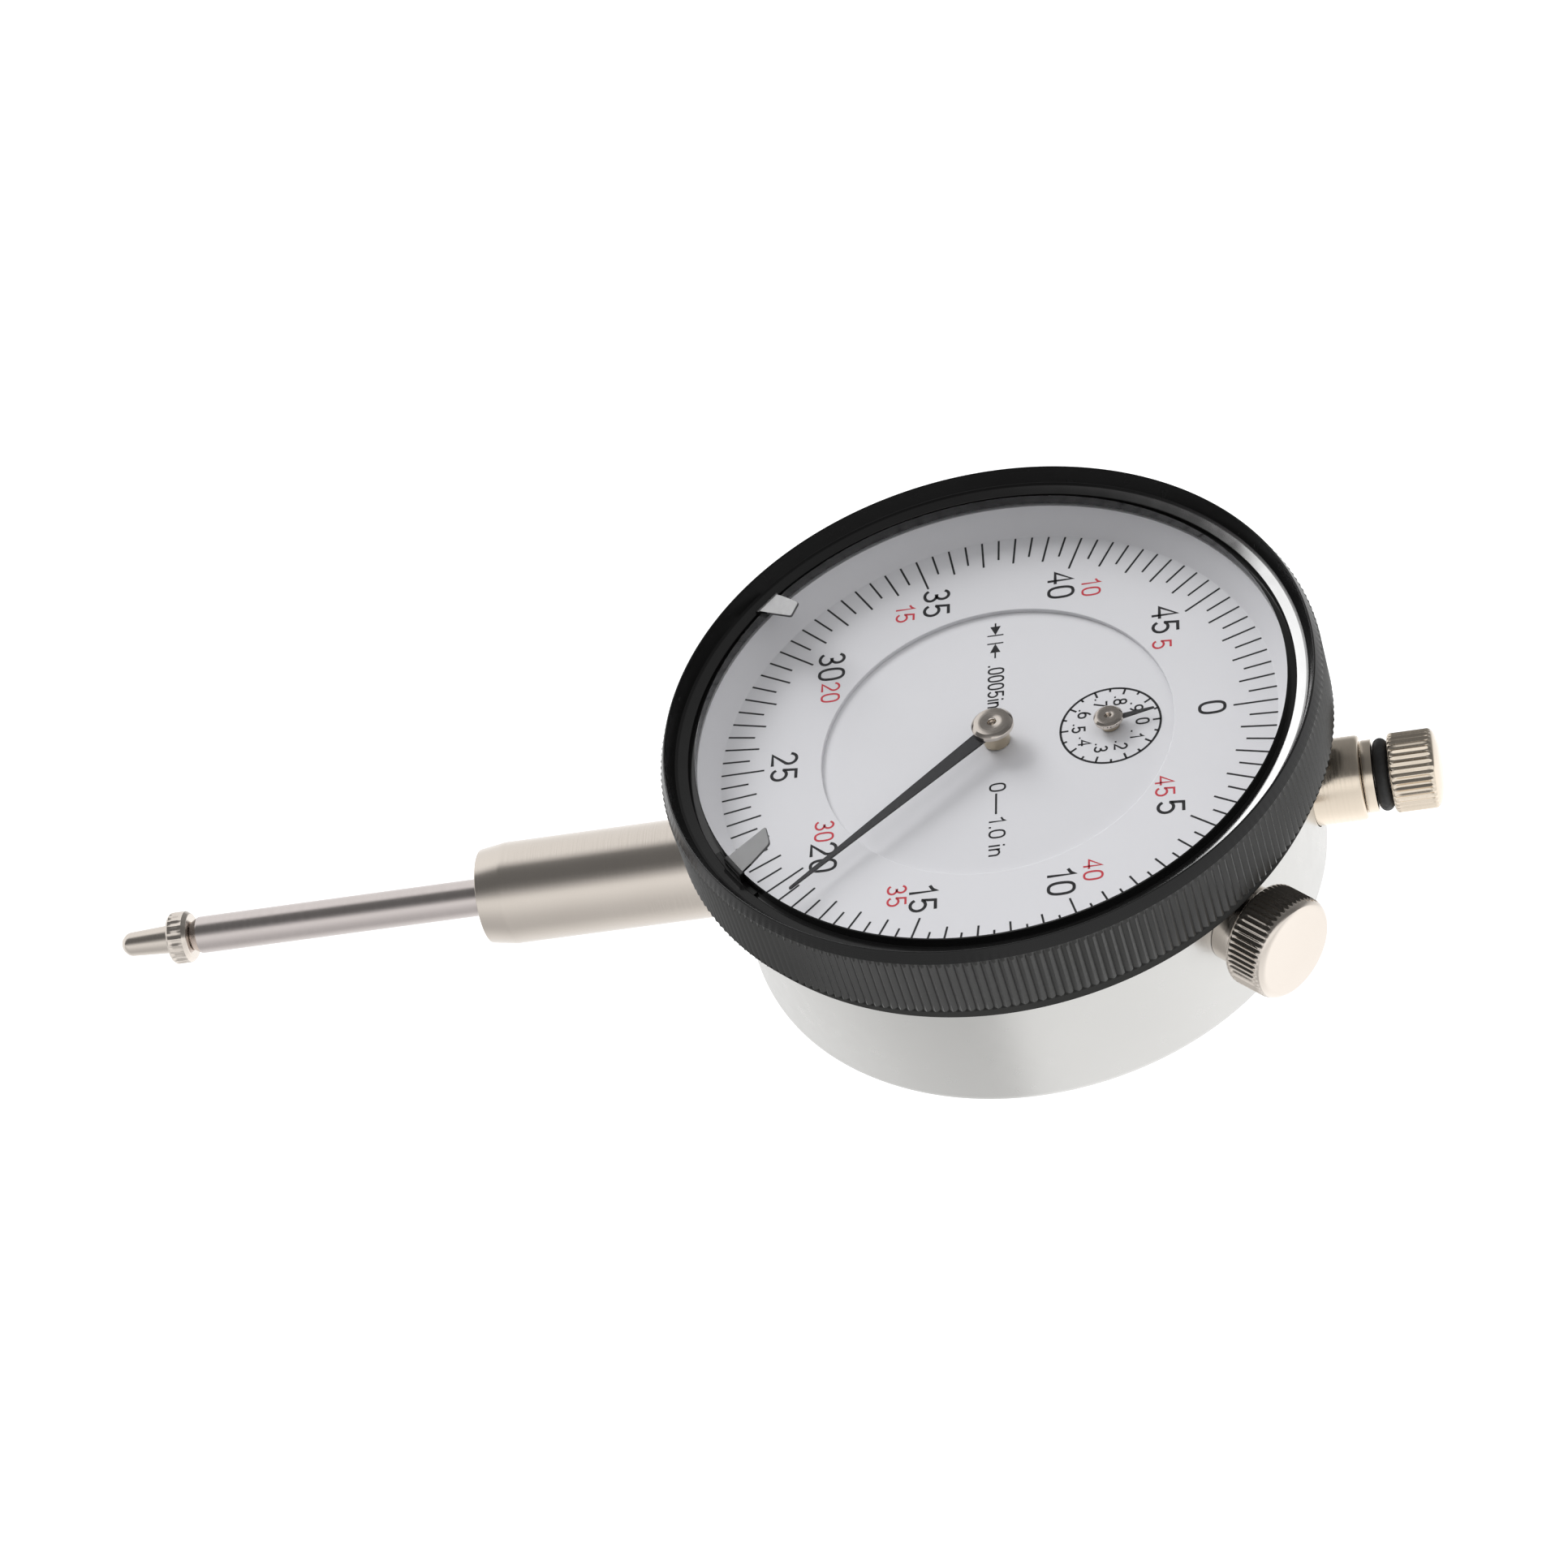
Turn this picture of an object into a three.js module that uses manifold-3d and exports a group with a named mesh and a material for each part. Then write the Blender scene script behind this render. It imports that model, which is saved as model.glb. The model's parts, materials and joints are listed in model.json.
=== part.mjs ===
// Dial indicator with a lug back: one inch of travel, half-thousandth graduations.
// Millimetres. The dial faces +Z, the stem and contact point lie along -X and the crown cap
// along +X. The origin is the centre of the lug's hole, under the middle of the dial.
import * as THREE from 'three';
import { mergeVertices } from 'three/addons/utils/BufferGeometryUtils.js';
import Module from 'manifold-3d';

const wasm = await Module();
wasm.setup();

// ---- driving dimensions; heights (Z) are measured from the printed face of the dial ----
const CASE_R = 27.0, CASE_WALL = 1.7, CASE_BOTTOM = -18.27, CASE_TOP = -1.4;
const LEDGE_R = 22.0, LEDGE_TOP = -16.6, COVER_SEAT = -17.35;
const COVER_R = 24.2, COVER_TOP = -17.45, COVER_BOTTOM = -18.57, COVER_SCREW_PCR = 23.2;
const LUG_DROP = 9.0, LUG_THICKNESS = 6.35, LUG_HOLE_R = 3.175, LUG_R = 7.4;

const BEZEL_R = 30.1, BEZEL_BOTTOM = -4.08, BEZEL_SKIRT_R = 29.0, BEZEL_BORE_R = 27.3;
const KNURL_LOW = -2.65, KNURL_HIGH = 4.3, RIM_R = 29.42, RIM_TOP = 5.25;
const BEVEL_R = 28.78, BEVEL_Z = 3.78, LIP_R = 27.6, LIP_Z = 3.45, LIP_UNDER = 3.3;
const CRYSTAL_SEAT_R = 28.25, CRYSTAL_SEAT_Z = 2.65, CRYSTAL_R = 28.0, CRYSTAL_CROWN_R = 26.95;
const CRYSTAL_Z = 2.7, CRYSTAL_FLANGE_TOP = 2.92, CRYSTAL_TOP = 3.9;
const DIAL_STEP_R = 16.1, SCALE_R = 25.48, DIAL_RIM_R = 27.0, DIAL_RIM_Z = 2.5;
const RING_UNDER = -0.3, CENTRE_FACE = -0.4, CENTRE_UNDER = -1.1;
const SNAP_LOW = -3.6, SNAP_HIGH = -2.8;

const SPINDLE_Z = -11.47, SPINDLE_R = 1.75, GUIDE_BORE_R = 1.85;
const SPINDLE_START = -79.85, SPINDLE_END = 36.3, CONTACT_TIP = -86.9, CONTACT_COLLAR_R = 2.45;
const STEM_R = 9.525 / 2, STEM_END = -50.9, STEM_ROOT = -25.0, STEM_BORE_R = 2.6;
const STEM_LEAD = 2.4, STEM_LEAD_R = 4.4;
const SLEEVE_R = 3.85, SLEEVE_ROOT = 25.0, SLEEVE_END = 31.3;
const CAP_R = 3.6, CAP_START = 33.8, CAP_END = 38.4;

const RACK_PITCH = 0.635, RACK_LINE_Y = 1.25, RACK_START = -17, RACK_END = 13;
const RACK_TEETH_ON_PINION = 20, DRIVE_TEETH = 100, CENTRE_TEETH = 10, TAKEUP_TEETH = 60;
const TRANSFER_TEETH = 12, COUNTER_TEETH = 24, GEAR_MODULE = 0.2;
const RACK_PINION_R = RACK_TEETH_ON_PINION * RACK_PITCH / (2 * Math.PI);
const COUNTER_X = 10.29;

const PLATE_R = 24.6, LOWER_PLATE = -9.25, UPPER_PLATE = -3.0, PLATE_THICKNESS = 1.0;
const PILLAR_PCR = 23.4, PILLAR_AZIMUTHS = [90, 207, 335];
const PIVOT_R = 0.35, PIVOT_HOLE_R = 0.43;
const GUIDE_PIN_X = -8, TRAVEL = 25.4, RAIL_Y = -7.3, SPRING_Y = -4.4, SPRING_POST_X = -20.6;

const CLAMP_AZIMUTH = -41.8, CLAMP_Z = -8.57, CLAMP_KNOB_R = 4.75, CLAMP_KNOB_END = 33.3;
const CLIP_AZIMUTHS = [140.3, -146.0];
const MAIN_HAND_READING = 19.2, COUNTER_HAND_READING = 0.97;

// arbor positions, worked out from the pitch circles
const deg = Math.PI / 180;
const DRIVE_CENTRES = GEAR_MODULE * (DRIVE_TEETH + CENTRE_TEETH) / 2;
const RACK_ARBOR_Y = RACK_LINE_Y + RACK_PINION_R;
const RACK_ARBOR_X = Math.sqrt(DRIVE_CENTRES ** 2 - RACK_ARBOR_Y ** 2);
const TAKEUP_CENTRES = GEAR_MODULE * (TAKEUP_TEETH + CENTRE_TEETH) / 2;
const TAKEUP_X = TAKEUP_CENTRES * Math.cos(150 * deg), TAKEUP_Y = TAKEUP_CENTRES * Math.sin(150 * deg);
const COUNTER_CENTRES = Math.hypot(RACK_ARBOR_X - COUNTER_X, RACK_ARBOR_Y);
const COUNTER_MODULE = 2 * COUNTER_CENTRES / (TRANSFER_TEETH + COUNTER_TEETH);

// ---- materials ----
const paint = (color, roughness, metalness, more = {}) =>
  new THREE.MeshStandardMaterial({ color, roughness, metalness, ...more });
const satinCase = paint(0xdcdad6, 0.38, 0.6);
const blackAnodised = paint(0x232323, 0.35, 0.4);
const nickel = paint(0xcfc8bf, 0.16, 1.0);
const steel = paint(0x9a9a98, 0.32, 1.0);
const brass = paint(0xb9965a, 0.35, 1.0);
const dialWhite = paint(0xd6d6db, 0.5, 0.0);
const handGrey = paint(0x3a3a3c, 0.45, 0.5);
const rubber = paint(0x1b1b1b, 0.75, 0.0);
const clear = paint(0xf4f6f8, 0.05, 0.0, { transparent: true, opacity: 0.25 });

// ---- solids ----
// A geometry's shared corners are merged and its faces turned outwards.
function solid(geometry) {
  geometry.deleteAttribute('normal');
  geometry.deleteAttribute('uv');
  const merged = mergeVertices(geometry, 1e-4);
  const corners = merged.index.array;
  const triangles = [];
  for (let i = 0; i < corners.length; i += 3) {
    const [a, b, c] = [corners[i], corners[i + 1], corners[i + 2]];
    if (a !== b && b !== c && c !== a) triangles.push([a, b, c]);
  }
  const build = (faces) => new wasm.Manifold(new wasm.Mesh({
    numProp: 3,
    vertProperties: Float32Array.from(merged.attributes.position.array),
    triVerts: Uint32Array.from(faces.flat()),
  }));
  const body = build(triangles);
  return body.volume() > 0 ? body : build(triangles.map(([a, b, c]) => [a, c, b]));
}

const join = (...bodies) => bodies.reduce((all, body) => all.add(body));
const cut = (body, ...tools) => tools.reduce((rest, tool) => rest.subtract(tool), body);

function piece(name, material, body) {
  const { vertProperties, triVerts } = body.getMesh();
  const geometry = new THREE.BufferGeometry();
  geometry.setAttribute('position', new THREE.BufferAttribute(Float32Array.from(vertProperties), 3));
  geometry.setIndex(new THREE.BufferAttribute(Uint32Array.from(triVerts), 1));
  geometry.computeVertexNormals();
  const mesh = new THREE.Mesh(geometry, material);
  mesh.name = name;
  return mesh;
}

// Profiles are [radius, height] pairs. A ring's profile closes on itself.
function turned(profile, segments = 24) {
  const points = profile.map(([radius, height]) => new THREE.Vector2(radius, height));
  return new THREE.LatheGeometry(points, segments).rotateX(Math.PI / 2);
}
const ringTurned = (profile, segments) => turned([...profile, profile[0]], segments);

// The same, turned about the spindle's axis: profile heights become X.
const alongX = (geometry) => geometry.rotateY(Math.PI / 2).translate(0, 0, SPINDLE_Z);

// The same, turned about the clamp screw's axis: profile heights become the distance from the
// dial's axis.
const alongClamp = (geometry) =>
  geometry.rotateY(Math.PI / 2).rotateZ(CLAMP_AZIMUTH * deg).translate(0, 0, CLAMP_Z);

function rod(radius, low, high, x = 0, y = 0, segments = 16) {
  return new THREE.CylinderGeometry(radius, radius, high - low, segments)
    .rotateX(Math.PI / 2).translate(x, y, (low + high) / 2);
}

function block(low, high) {
  const size = high.map((value, axis) => value - low[axis]);
  const middle = high.map((value, axis) => (value + low[axis]) / 2);
  return new THREE.BoxGeometry(...size).translate(...middle);
}

function plate(shape, low, high, curveSegments = 12) {
  const settings = { depth: high - low, bevelEnabled: false, curveSegments };
  return new THREE.ExtrudeGeometry(shape, settings).translate(0, 0, low);
}

const outlineShape = (corners) =>
  new THREE.Shape(corners.map(([x, y]) => new THREE.Vector2(x, y)));

function circlePath(radius, x = 0, y = 0) {
  const path = new THREE.Path();
  path.absarc(x, y, radius, 0, 2 * Math.PI, true);
  return path;
}

// ---- gears: straight-sided pointed teeth, thinner than half the pitch, so that they run with
// backlash. Addendum and dedendum are in modules, the half width at the root in pitches. ----
const TOOTH = { addendum: 0.75, dedendum: 1.0, root: 0.38 };
const RING_SEGMENTS = 40;

// A tooth stands at the angle of phase.
function gearShape(teeth, module, phase, boreRadius = 0) {
  const pitchRadius = teeth * module / 2;
  const rootRadius = pitchRadius - TOOTH.dedendum * module;
  const tipRadius = pitchRadius + TOOTH.addendum * module;
  const levels = [[rootRadius, -TOOTH.root], [tipRadius, 0], [rootRadius, TOOTH.root]];
  const outline = [];
  for (let tooth = 0; tooth < teeth; tooth += 1) {
    for (const [radius, share] of levels) {
      const angle = phase + (tooth + share) * 2 * Math.PI / teeth;
      outline.push(new THREE.Vector2(radius * Math.cos(angle), radius * Math.sin(angle)));
    }
  }
  const shape = new THREE.Shape(outline);
  if (boreRadius) shape.holes.push(circlePath(boreRadius));
  return shape;
}

// The phase of a gear that meshes with another whose own phase is given, along the line
// of centres at angle toward.
function meshPhase(toward, phase, teeth, ownTeeth) {
  return toward + Math.PI + Math.PI / ownTeeth - (phase - toward) * teeth / ownTeeth;
}

const towardRack = -Math.PI / 2;
const rackPinionPhase = towardRack;
const drivePhase = Math.atan2(-RACK_ARBOR_Y, -RACK_ARBOR_X);
const centrePhase = meshPhase(drivePhase, drivePhase, DRIVE_TEETH, CENTRE_TEETH);
const takeupPhase = meshPhase(150 * deg, centrePhase, CENTRE_TEETH, TAKEUP_TEETH);
const transferPhase = Math.atan2(-RACK_ARBOR_Y, COUNTER_X - RACK_ARBOR_X);
const counterPhase = meshPhase(transferPhase, transferPhase, TRANSFER_TEETH, COUNTER_TEETH);

// ---- case ----
function caseCup() {
  const inner = CASE_R - CASE_WALL;
  const shell = solid(ringTurned([
    [CASE_R - 0.7, CASE_BOTTOM], [CASE_R - 0.2, CASE_BOTTOM + 0.2], [CASE_R, CASE_BOTTOM + 0.7],
    [CASE_R, SNAP_LOW], [CASE_R - 0.5, SNAP_LOW], [CASE_R - 0.5, SNAP_HIGH], [CASE_R, SNAP_HIGH],
    [CASE_R, CASE_TOP], [inner, CASE_TOP], [inner, LEDGE_TOP], [LEDGE_R, LEDGE_TOP],
    [LEDGE_R, COVER_SEAT], [COVER_R + 0.25, COVER_SEAT], [COVER_R + 0.25, CASE_BOTTOM],
  ], RING_SEGMENTS));
  const stemHole = solid(alongX(rod(STEM_R + 0.09, -CASE_R - 2, -inner + 2, 0, 0, 24)));
  const sleeveHole = solid(alongX(rod(SLEEVE_R + 0.09, inner - 2, CASE_R + 2, 0, 0, 24)));
  const clampHole = solid(alongClamp(rod(1.45, inner - 2, CASE_R + 2)));
  const shoeNotch = solid(block([inner - 1, -2.1, -3.95], [CASE_R + 1, 2.1, CASE_TOP + 1])
    .rotateZ(CLAMP_AZIMUTH * deg));
  const screwHoles = coverScrewPlaces().map(([x, y]) =>
    solid(rod(0.8, COVER_SEAT - 0.5, LEDGE_TOP + 0.5, x, y, 8)));
  const openings = [stemHole, sleeveHole, clampHole, shoeNotch, ...screwHoles];
  return piece('case_cup', satinCase, cut(shell, ...openings));
}

function coverScrewPlaces() {
  return [45, 135, 225, 315].map((azimuth) =>
    [COVER_SCREW_PCR * Math.cos(azimuth * deg), COVER_SCREW_PCR * Math.sin(azimuth * deg)]);
}

// The cover and its lug are one casting. The lug's hole runs along Y.
function backCover() {
  const disc = solid(turned([[0, COVER_BOTTOM], [COVER_R - 0.4, COVER_BOTTOM],
    [COVER_R, COVER_BOTTOM + 0.4], [COVER_R, COVER_TOP], [0, COVER_TOP]], RING_SEGMENTS));
  const outline = new THREE.Shape();
  const top = LUG_DROP + 0.5;
  outline.moveTo(LUG_R, top);
  outline.lineTo(-LUG_R, top);
  outline.lineTo(-LUG_R, 0);
  outline.absarc(0, 0, LUG_R, Math.PI, 2 * Math.PI, false);
  const lug = solid(plate(outline, 0, LUG_THICKNESS)
    .rotateX(Math.PI / 2).translate(0, LUG_THICKNESS / 2, COVER_BOTTOM - LUG_DROP));
  const hole = solid(rod(LUG_HOLE_R, -LUG_THICKNESS, LUG_THICKNESS, 0, 0, 24)
    .rotateX(Math.PI / 2).translate(0, 0, COVER_BOTTOM - LUG_DROP));
  const screwSeats = coverScrewPlaces().flatMap(([x, y]) => [
    solid(rod(0.85, COVER_BOTTOM - 1, COVER_TOP + 1, x, y, 8)),
    solid(rod(1.0, COVER_BOTTOM - 1, COVER_BOTTOM + 0.7, x, y, 12)),
  ]);
  return piece('back_cover', satinCase, cut(join(disc, lug), hole, ...screwSeats));
}

function coverScrew(index, x, y) {
  const head = COVER_BOTTOM + 0.62;
  const tip = LEDGE_TOP + 0.35;
  const screw = turned([[0, COVER_BOTTOM + 0.02], [0.8, COVER_BOTTOM + 0.02],
    [0.92, COVER_BOTTOM + 0.15], [0.92, head], [0.6, head], [0.6, tip], [0, tip]], 10);
  const slot = solid(block([-2, -0.13, COVER_BOTTOM - 1], [2, 0.13, COVER_BOTTOM + 0.25]));
  const mesh = piece(`back_screw_${index}`, steel, cut(solid(screw), slot));
  mesh.position.set(x, y, 0);
  return mesh;
}

// The stem's end tapers a little, to lead it into a clamp.
function stem() {
  const tube = ringTurned([[STEM_LEAD_R, STEM_END], [STEM_R, STEM_END + STEM_LEAD], [STEM_R, STEM_ROOT],
    [STEM_BORE_R, STEM_ROOT], [STEM_BORE_R, STEM_END]], 24);
  return piece('stem', nickel, solid(alongX(tube)));
}

function stemBush() {
  const nose = STEM_END + 0.1;
  const back = STEM_END + 8;
  const bush = ringTurned([[2.2, nose], [2.4, nose + 0.2], [2.4, back], [GUIDE_BORE_R, back],
    [GUIDE_BORE_R, nose]], 16);
  return piece('stem_bush', brass, solid(alongX(bush)));
}

function topSleeve() {
  const sleeve = ringTurned([[GUIDE_BORE_R, SLEEVE_ROOT], [SLEEVE_R, SLEEVE_ROOT],
    [SLEEVE_R, SLEEVE_END - 0.3], [SLEEVE_R - 0.3, SLEEVE_END], [GUIDE_BORE_R, SLEEVE_END]], 20);
  return piece('top_sleeve', nickel, solid(alongX(sleeve)));
}

// ---- bezel, dial and crystal ----
function bezelRing() {
  return piece('bezel_ring', blackAnodised, solid(ringTurned([
    [BEZEL_SKIRT_R, BEZEL_BOTTOM], [BEZEL_SKIRT_R, KNURL_LOW - 0.15], [BEZEL_R, KNURL_LOW],
    [BEZEL_R, KNURL_HIGH], [BEZEL_R - 0.18, KNURL_HIGH + 0.3], [RIM_R, RIM_TOP],
    [BEVEL_R, BEVEL_Z], [LIP_R, LIP_Z],
    [LIP_R, LIP_UNDER], [CRYSTAL_SEAT_R, LIP_UNDER], [CRYSTAL_SEAT_R, CRYSTAL_SEAT_Z],
    [LIP_R, CRYSTAL_SEAT_Z], [LIP_R, -1.0], [BEZEL_BORE_R, -1.0], [BEZEL_BORE_R, SNAP_HIGH],
    [BEZEL_BORE_R + 0.6, SNAP_HIGH], [BEZEL_BORE_R + 0.6, SNAP_LOW], [BEZEL_BORE_R, SNAP_LOW],
    [BEZEL_BORE_R, BEZEL_BOTTOM],
  ], RING_SEGMENTS)));
}

function crystal() {
  return piece('crystal', clear, solid(turned([[0, CRYSTAL_Z], [CRYSTAL_R, CRYSTAL_Z],
    [CRYSTAL_R, CRYSTAL_FLANGE_TOP], [CRYSTAL_CROWN_R, CRYSTAL_FLANGE_TOP],
    [CRYSTAL_CROWN_R - 0.15, CRYSTAL_TOP - 0.25], [CRYSTAL_CROWN_R - 0.5, CRYSTAL_TOP],
    [0, CRYSTAL_TOP]], RING_SEGMENTS)));
}

// The graduated ring turns with the bezel around the fixed middle of the dial.
function dialRing() {
  return piece('dial_ring', dialWhite, solid(ringTurned([[DIAL_STEP_R, RING_UNDER],
    [26.6, RING_UNDER], [26.6, -0.9], [27.45, -0.9], [27.45, DIAL_RIM_Z], [DIAL_RIM_R, DIAL_RIM_Z],
    [SCALE_R, 0], [DIAL_STEP_R, 0]], RING_SEGMENTS)));
}

const DIAL_FEET = [[-9, -9], [-9, 9]];

function centreDial() {
  const outline = new THREE.Shape().absarc(0, 0, DIAL_STEP_R + 0.9, 0, 2 * Math.PI);
  const disc = solid(plate(outline, CENTRE_UNDER, CENTRE_FACE, 20));
  const feet = DIAL_FEET.map(([x, y]) =>
    solid(rod(0.6, UPPER_PLATE + 0.3, CENTRE_UNDER + 0.1, x, y, 8)));
  const holes = [solid(rod(0.95, -2, 0, 0, 0, 16)), solid(rod(0.8, -2, 0, COUNTER_X, 0, 16))];
  return piece('centre_dial', dialWhite, cut(join(disc, ...feet), ...holes));
}

// A split ring in facing grooves holds the bezel on the case and lets it turn. Its gap
// leaves room for the clamp shoe.
function snapRing() {
  const shape = new THREE.Shape();
  const gap = 14 * deg;
  const start = CLAMP_AZIMUTH * deg + gap;
  const end = CLAMP_AZIMUTH * deg + 2 * Math.PI - gap;
  shape.absarc(0, 0, 27.65, start, end, false);
  shape.absarc(0, 0, 26.7, end, start, true);
  return piece('bezel_snap_ring', steel, solid(plate(shape, SNAP_LOW + 0.15, SNAP_HIGH - 0.15, 16)));
}

// A steel limit clip: its foot hooks under the bezel's lip, beside the crystal, and its tab
// reaches in over the crystal. Built pointing along +X. The tab's end leans, the two clips'
// ends opposite ways.
function limitClip(index) {
  const foot = new THREE.Shape();
  foot.absarc(0, 0, 27.98, -7 * deg, 7 * deg, false);
  foot.absarc(0, 0, 27.05, 7 * deg, -7 * deg, true);
  const side = outlineShape([[27.05, 2.98], [27.4, 2.98], [27.4, 4.05], [27.2, 4.3], [22.6, 5.4],
    [22.54, 5.15], [27.05, 4.05]]);
  const width = 2.8;
  const tab = plate(side, 0, width).rotateX(Math.PI / 2).translate(0, width / 2, 0);
  const corners = [-1, 1].map((flank) =>
    solid(new THREE.BoxGeometry(5, 1, 4).rotateZ(flank * 7 * deg).translate(24, flank * 1.7, 5)));
  const lean = index === 1 ? 1 : -1;
  const end = solid(new THREE.BoxGeometry(2, 6, 4).translate(-1, 0, 0).rotateZ(lean * 19 * deg)
    .translate(23.2, 0, 5));
  const clip = cut(join(solid(plate(foot, 2.98, 3.24, 12)), solid(tab)), ...corners, end);
  const mesh = piece(`limit_clip_${index}`, steel, clip);
  mesh.rotation.z = CLIP_AZIMUTHS[index - 1] * deg;
  return mesh;
}

// ---- plunger: everything that slides with the spindle ----
function spindle() {
  const shaft = solid(alongX(turned([[0, SPINDLE_START], [SPINDLE_R - 0.4, SPINDLE_START],
    [SPINDLE_R, SPINDLE_START + 0.7], [SPINDLE_R, SPINDLE_END - 0.3], [SPINDLE_R - 0.3, SPINDLE_END],
    [0, SPINDLE_END]], 20)));
  const pointHole = solid(alongX(rod(1.0, SPINDLE_START - 1, SPINDLE_START + 3.6, 0, 0, 12)));
  const pinHole = solid(rod(0.55, -3, 0.75).rotateX(-Math.PI / 2).translate(GUIDE_PIN_X, 0, SPINDLE_Z));
  return piece('spindle', nickel, cut(shaft, rackSpaces(), pointHole, pinHole));
}

// The rack's spaces, as one cutter. A space faces the pinion when the spindle is at rest.
function rackSpaces() {
  const module = RACK_PITCH / Math.PI;
  const root = RACK_LINE_Y - TOOTH.dedendum * module;
  const tip = RACK_LINE_Y + TOOTH.addendum * module;
  const first = Math.ceil((RACK_START - RACK_ARBOR_X) / RACK_PITCH);
  const last = Math.floor((RACK_END - RACK_ARBOR_X) / RACK_PITCH);
  const clear = RACK_LINE_Y + 1.75;
  const floor = (0.5 - TOOTH.root) * RACK_PITCH;
  const outline = [[RACK_ARBOR_X + (first - 0.5) * RACK_PITCH, clear]];
  for (let space = first; space <= last; space += 1) {
    const x = RACK_ARBOR_X + space * RACK_PITCH;
    outline.push([x - RACK_PITCH / 2, tip], [x - floor, root], [x + floor, root]);
  }
  const end = RACK_ARBOR_X + (last + 0.5) * RACK_PITCH;
  outline.push([end, tip], [end, clear]);
  return solid(plate(outlineShape(outline), SPINDLE_Z - 3, SPINDLE_Z + 3));
}

function contactPoint() {
  const collar = SPINDLE_START - 0.1;
  const point = turned([[0, CONTACT_TIP], [0.5, CONTACT_TIP + 0.12], [0.88, CONTACT_TIP + 0.45],
    [1.1, CONTACT_TIP + 0.95], [1.35, collar - 1.95], [CONTACT_COLLAR_R - 0.15, collar - 1.95],
    [CONTACT_COLLAR_R, collar - 1.8], [CONTACT_COLLAR_R, collar - 0.35],
    [CONTACT_COLLAR_R - 0.35, collar], [0.9, collar], [0.9, collar + 3.2], [0, collar + 3.2]], 18);
  return piece('contact_point', nickel, solid(alongX(point)));
}

function guidePin() {
  return piece('guide_pin', steel,
    solid(rod(0.45, -7.9, 0.6).rotateX(-Math.PI / 2).translate(GUIDE_PIN_X, 0, SPINDLE_Z)));
}

function stopWasher() {
  const [low, high] = [SLEEVE_END + 0.1, SLEEVE_END + 1.05];
  const washer = ringTurned([[GUIDE_BORE_R, low], [3.3, low], [3.3, high], [GUIDE_BORE_R, high]], 20);
  return piece('stop_washer', nickel, solid(alongX(washer)));
}

function oRing() {
  const tube = 0.64, middle = 33.07;
  const ring = new THREE.TorusGeometry(2.66, tube, 8, 20).translate(0, 0, middle);
  return piece('o_ring', rubber, solid(alongX(ring)));
}

function crownCap() {
  const bore = SPINDLE_END + 0.3;
  const cap = turned([[0, bore], [GUIDE_BORE_R, bore], [GUIDE_BORE_R, CAP_START],
    [CAP_R - 0.25, CAP_START], [CAP_R, CAP_START + 0.25], [CAP_R, CAP_END - 0.95], [CAP_R - 0.35, CAP_END - 0.5],
    [CAP_R - 1.4, CAP_END - 0.15], [0, CAP_END]], 24);
  return piece('crown_cap', nickel, solid(alongX(cap)));
}

// ---- movement ----
function movementPlate(name, low, bores, extra = []) {
  const outline = new THREE.Shape().absarc(0, 0, PLATE_R, 0, 2 * Math.PI);
  const disc = solid(plate(outline, low, low + PLATE_THICKNESS, 18));
  const holes = bores.map(([radius, x, y]) => solid(rod(radius, low - 3, low + 3, x, y, 8)));
  const notch = solid(block([22.9, -2.5, low - 1], [PLATE_R + 1, 2.5, low + 2])
    .rotateZ(CLAMP_AZIMUTH * deg));
  return piece(name, brass, cut(join(disc, ...extra), notch, ...holes));
}

const pillarPlaces = () => PILLAR_AZIMUTHS.map((azimuth) =>
  [PILLAR_PCR * Math.cos(azimuth * deg), PILLAR_PCR * Math.sin(azimuth * deg)]);
const RACK_SCREWS = [[RACK_ARBOR_X - 2.6, 6.7], [RACK_ARBOR_X + 2.6, 6.7]];
const RAIL_SCREWS = [[-4, RAIL_Y], [13, RAIL_Y]];

function lowerPlate() {
  return movementPlate('lower_plate', LOWER_PLATE, [
    [PIVOT_HOLE_R, 0, 0], [PIVOT_HOLE_R, TAKEUP_X, TAKEUP_Y], [1.3, RACK_ARBOR_X, RACK_ARBOR_Y],
    [0.6, SPRING_POST_X, SPRING_Y],
    ...pillarPlaces().map(([x, y]) => [0.95, x, y]),
    ...[...RACK_SCREWS, ...RAIL_SCREWS].map(([x, y]) => [0.6, x, y]),
  ]);
}

// The counter hand's arbor runs in a boss under the upper plate.
function upperPlate() {
  const boss = solid(rod(1.5, UPPER_PLATE - 0.8, UPPER_PLATE + 0.4, COUNTER_X, 0, 12));
  return movementPlate('upper_plate', UPPER_PLATE, [
    [0.75, 0, 0], [0.6, COUNTER_X, 0], [PIVOT_HOLE_R, TAKEUP_X, TAKEUP_Y],
    [PIVOT_HOLE_R, RACK_ARBOR_X, RACK_ARBOR_Y], [0.45, ...hairspringStudPlace()],
    ...pillarPlaces().map(([x, y]) => [0.7, x, y]), ...DIAL_FEET.map(([x, y]) => [0.7, x, y]),
  ], [boss]);
}

// A shouldered pillar stands on the case's ledge and carries both plates.
function pillar(index, x, y) {
  const post = turned([[0, LEDGE_TOP + 0.1], [1.3, LEDGE_TOP + 0.1], [1.3, LOWER_PLATE - 0.05],
    [0.85, LOWER_PLATE - 0.05], [0.85, UPPER_PLATE - 0.05], [0, UPPER_PLATE - 0.05]], 12);
  const thread = solid(rod(0.6, UPPER_PLATE - 3, UPPER_PLATE + 1, 0, 0, 8));
  const mesh = piece(`pillar_${index}`, brass, cut(solid(post), thread));
  mesh.position.set(x, y, 0);
  return mesh;
}

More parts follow.
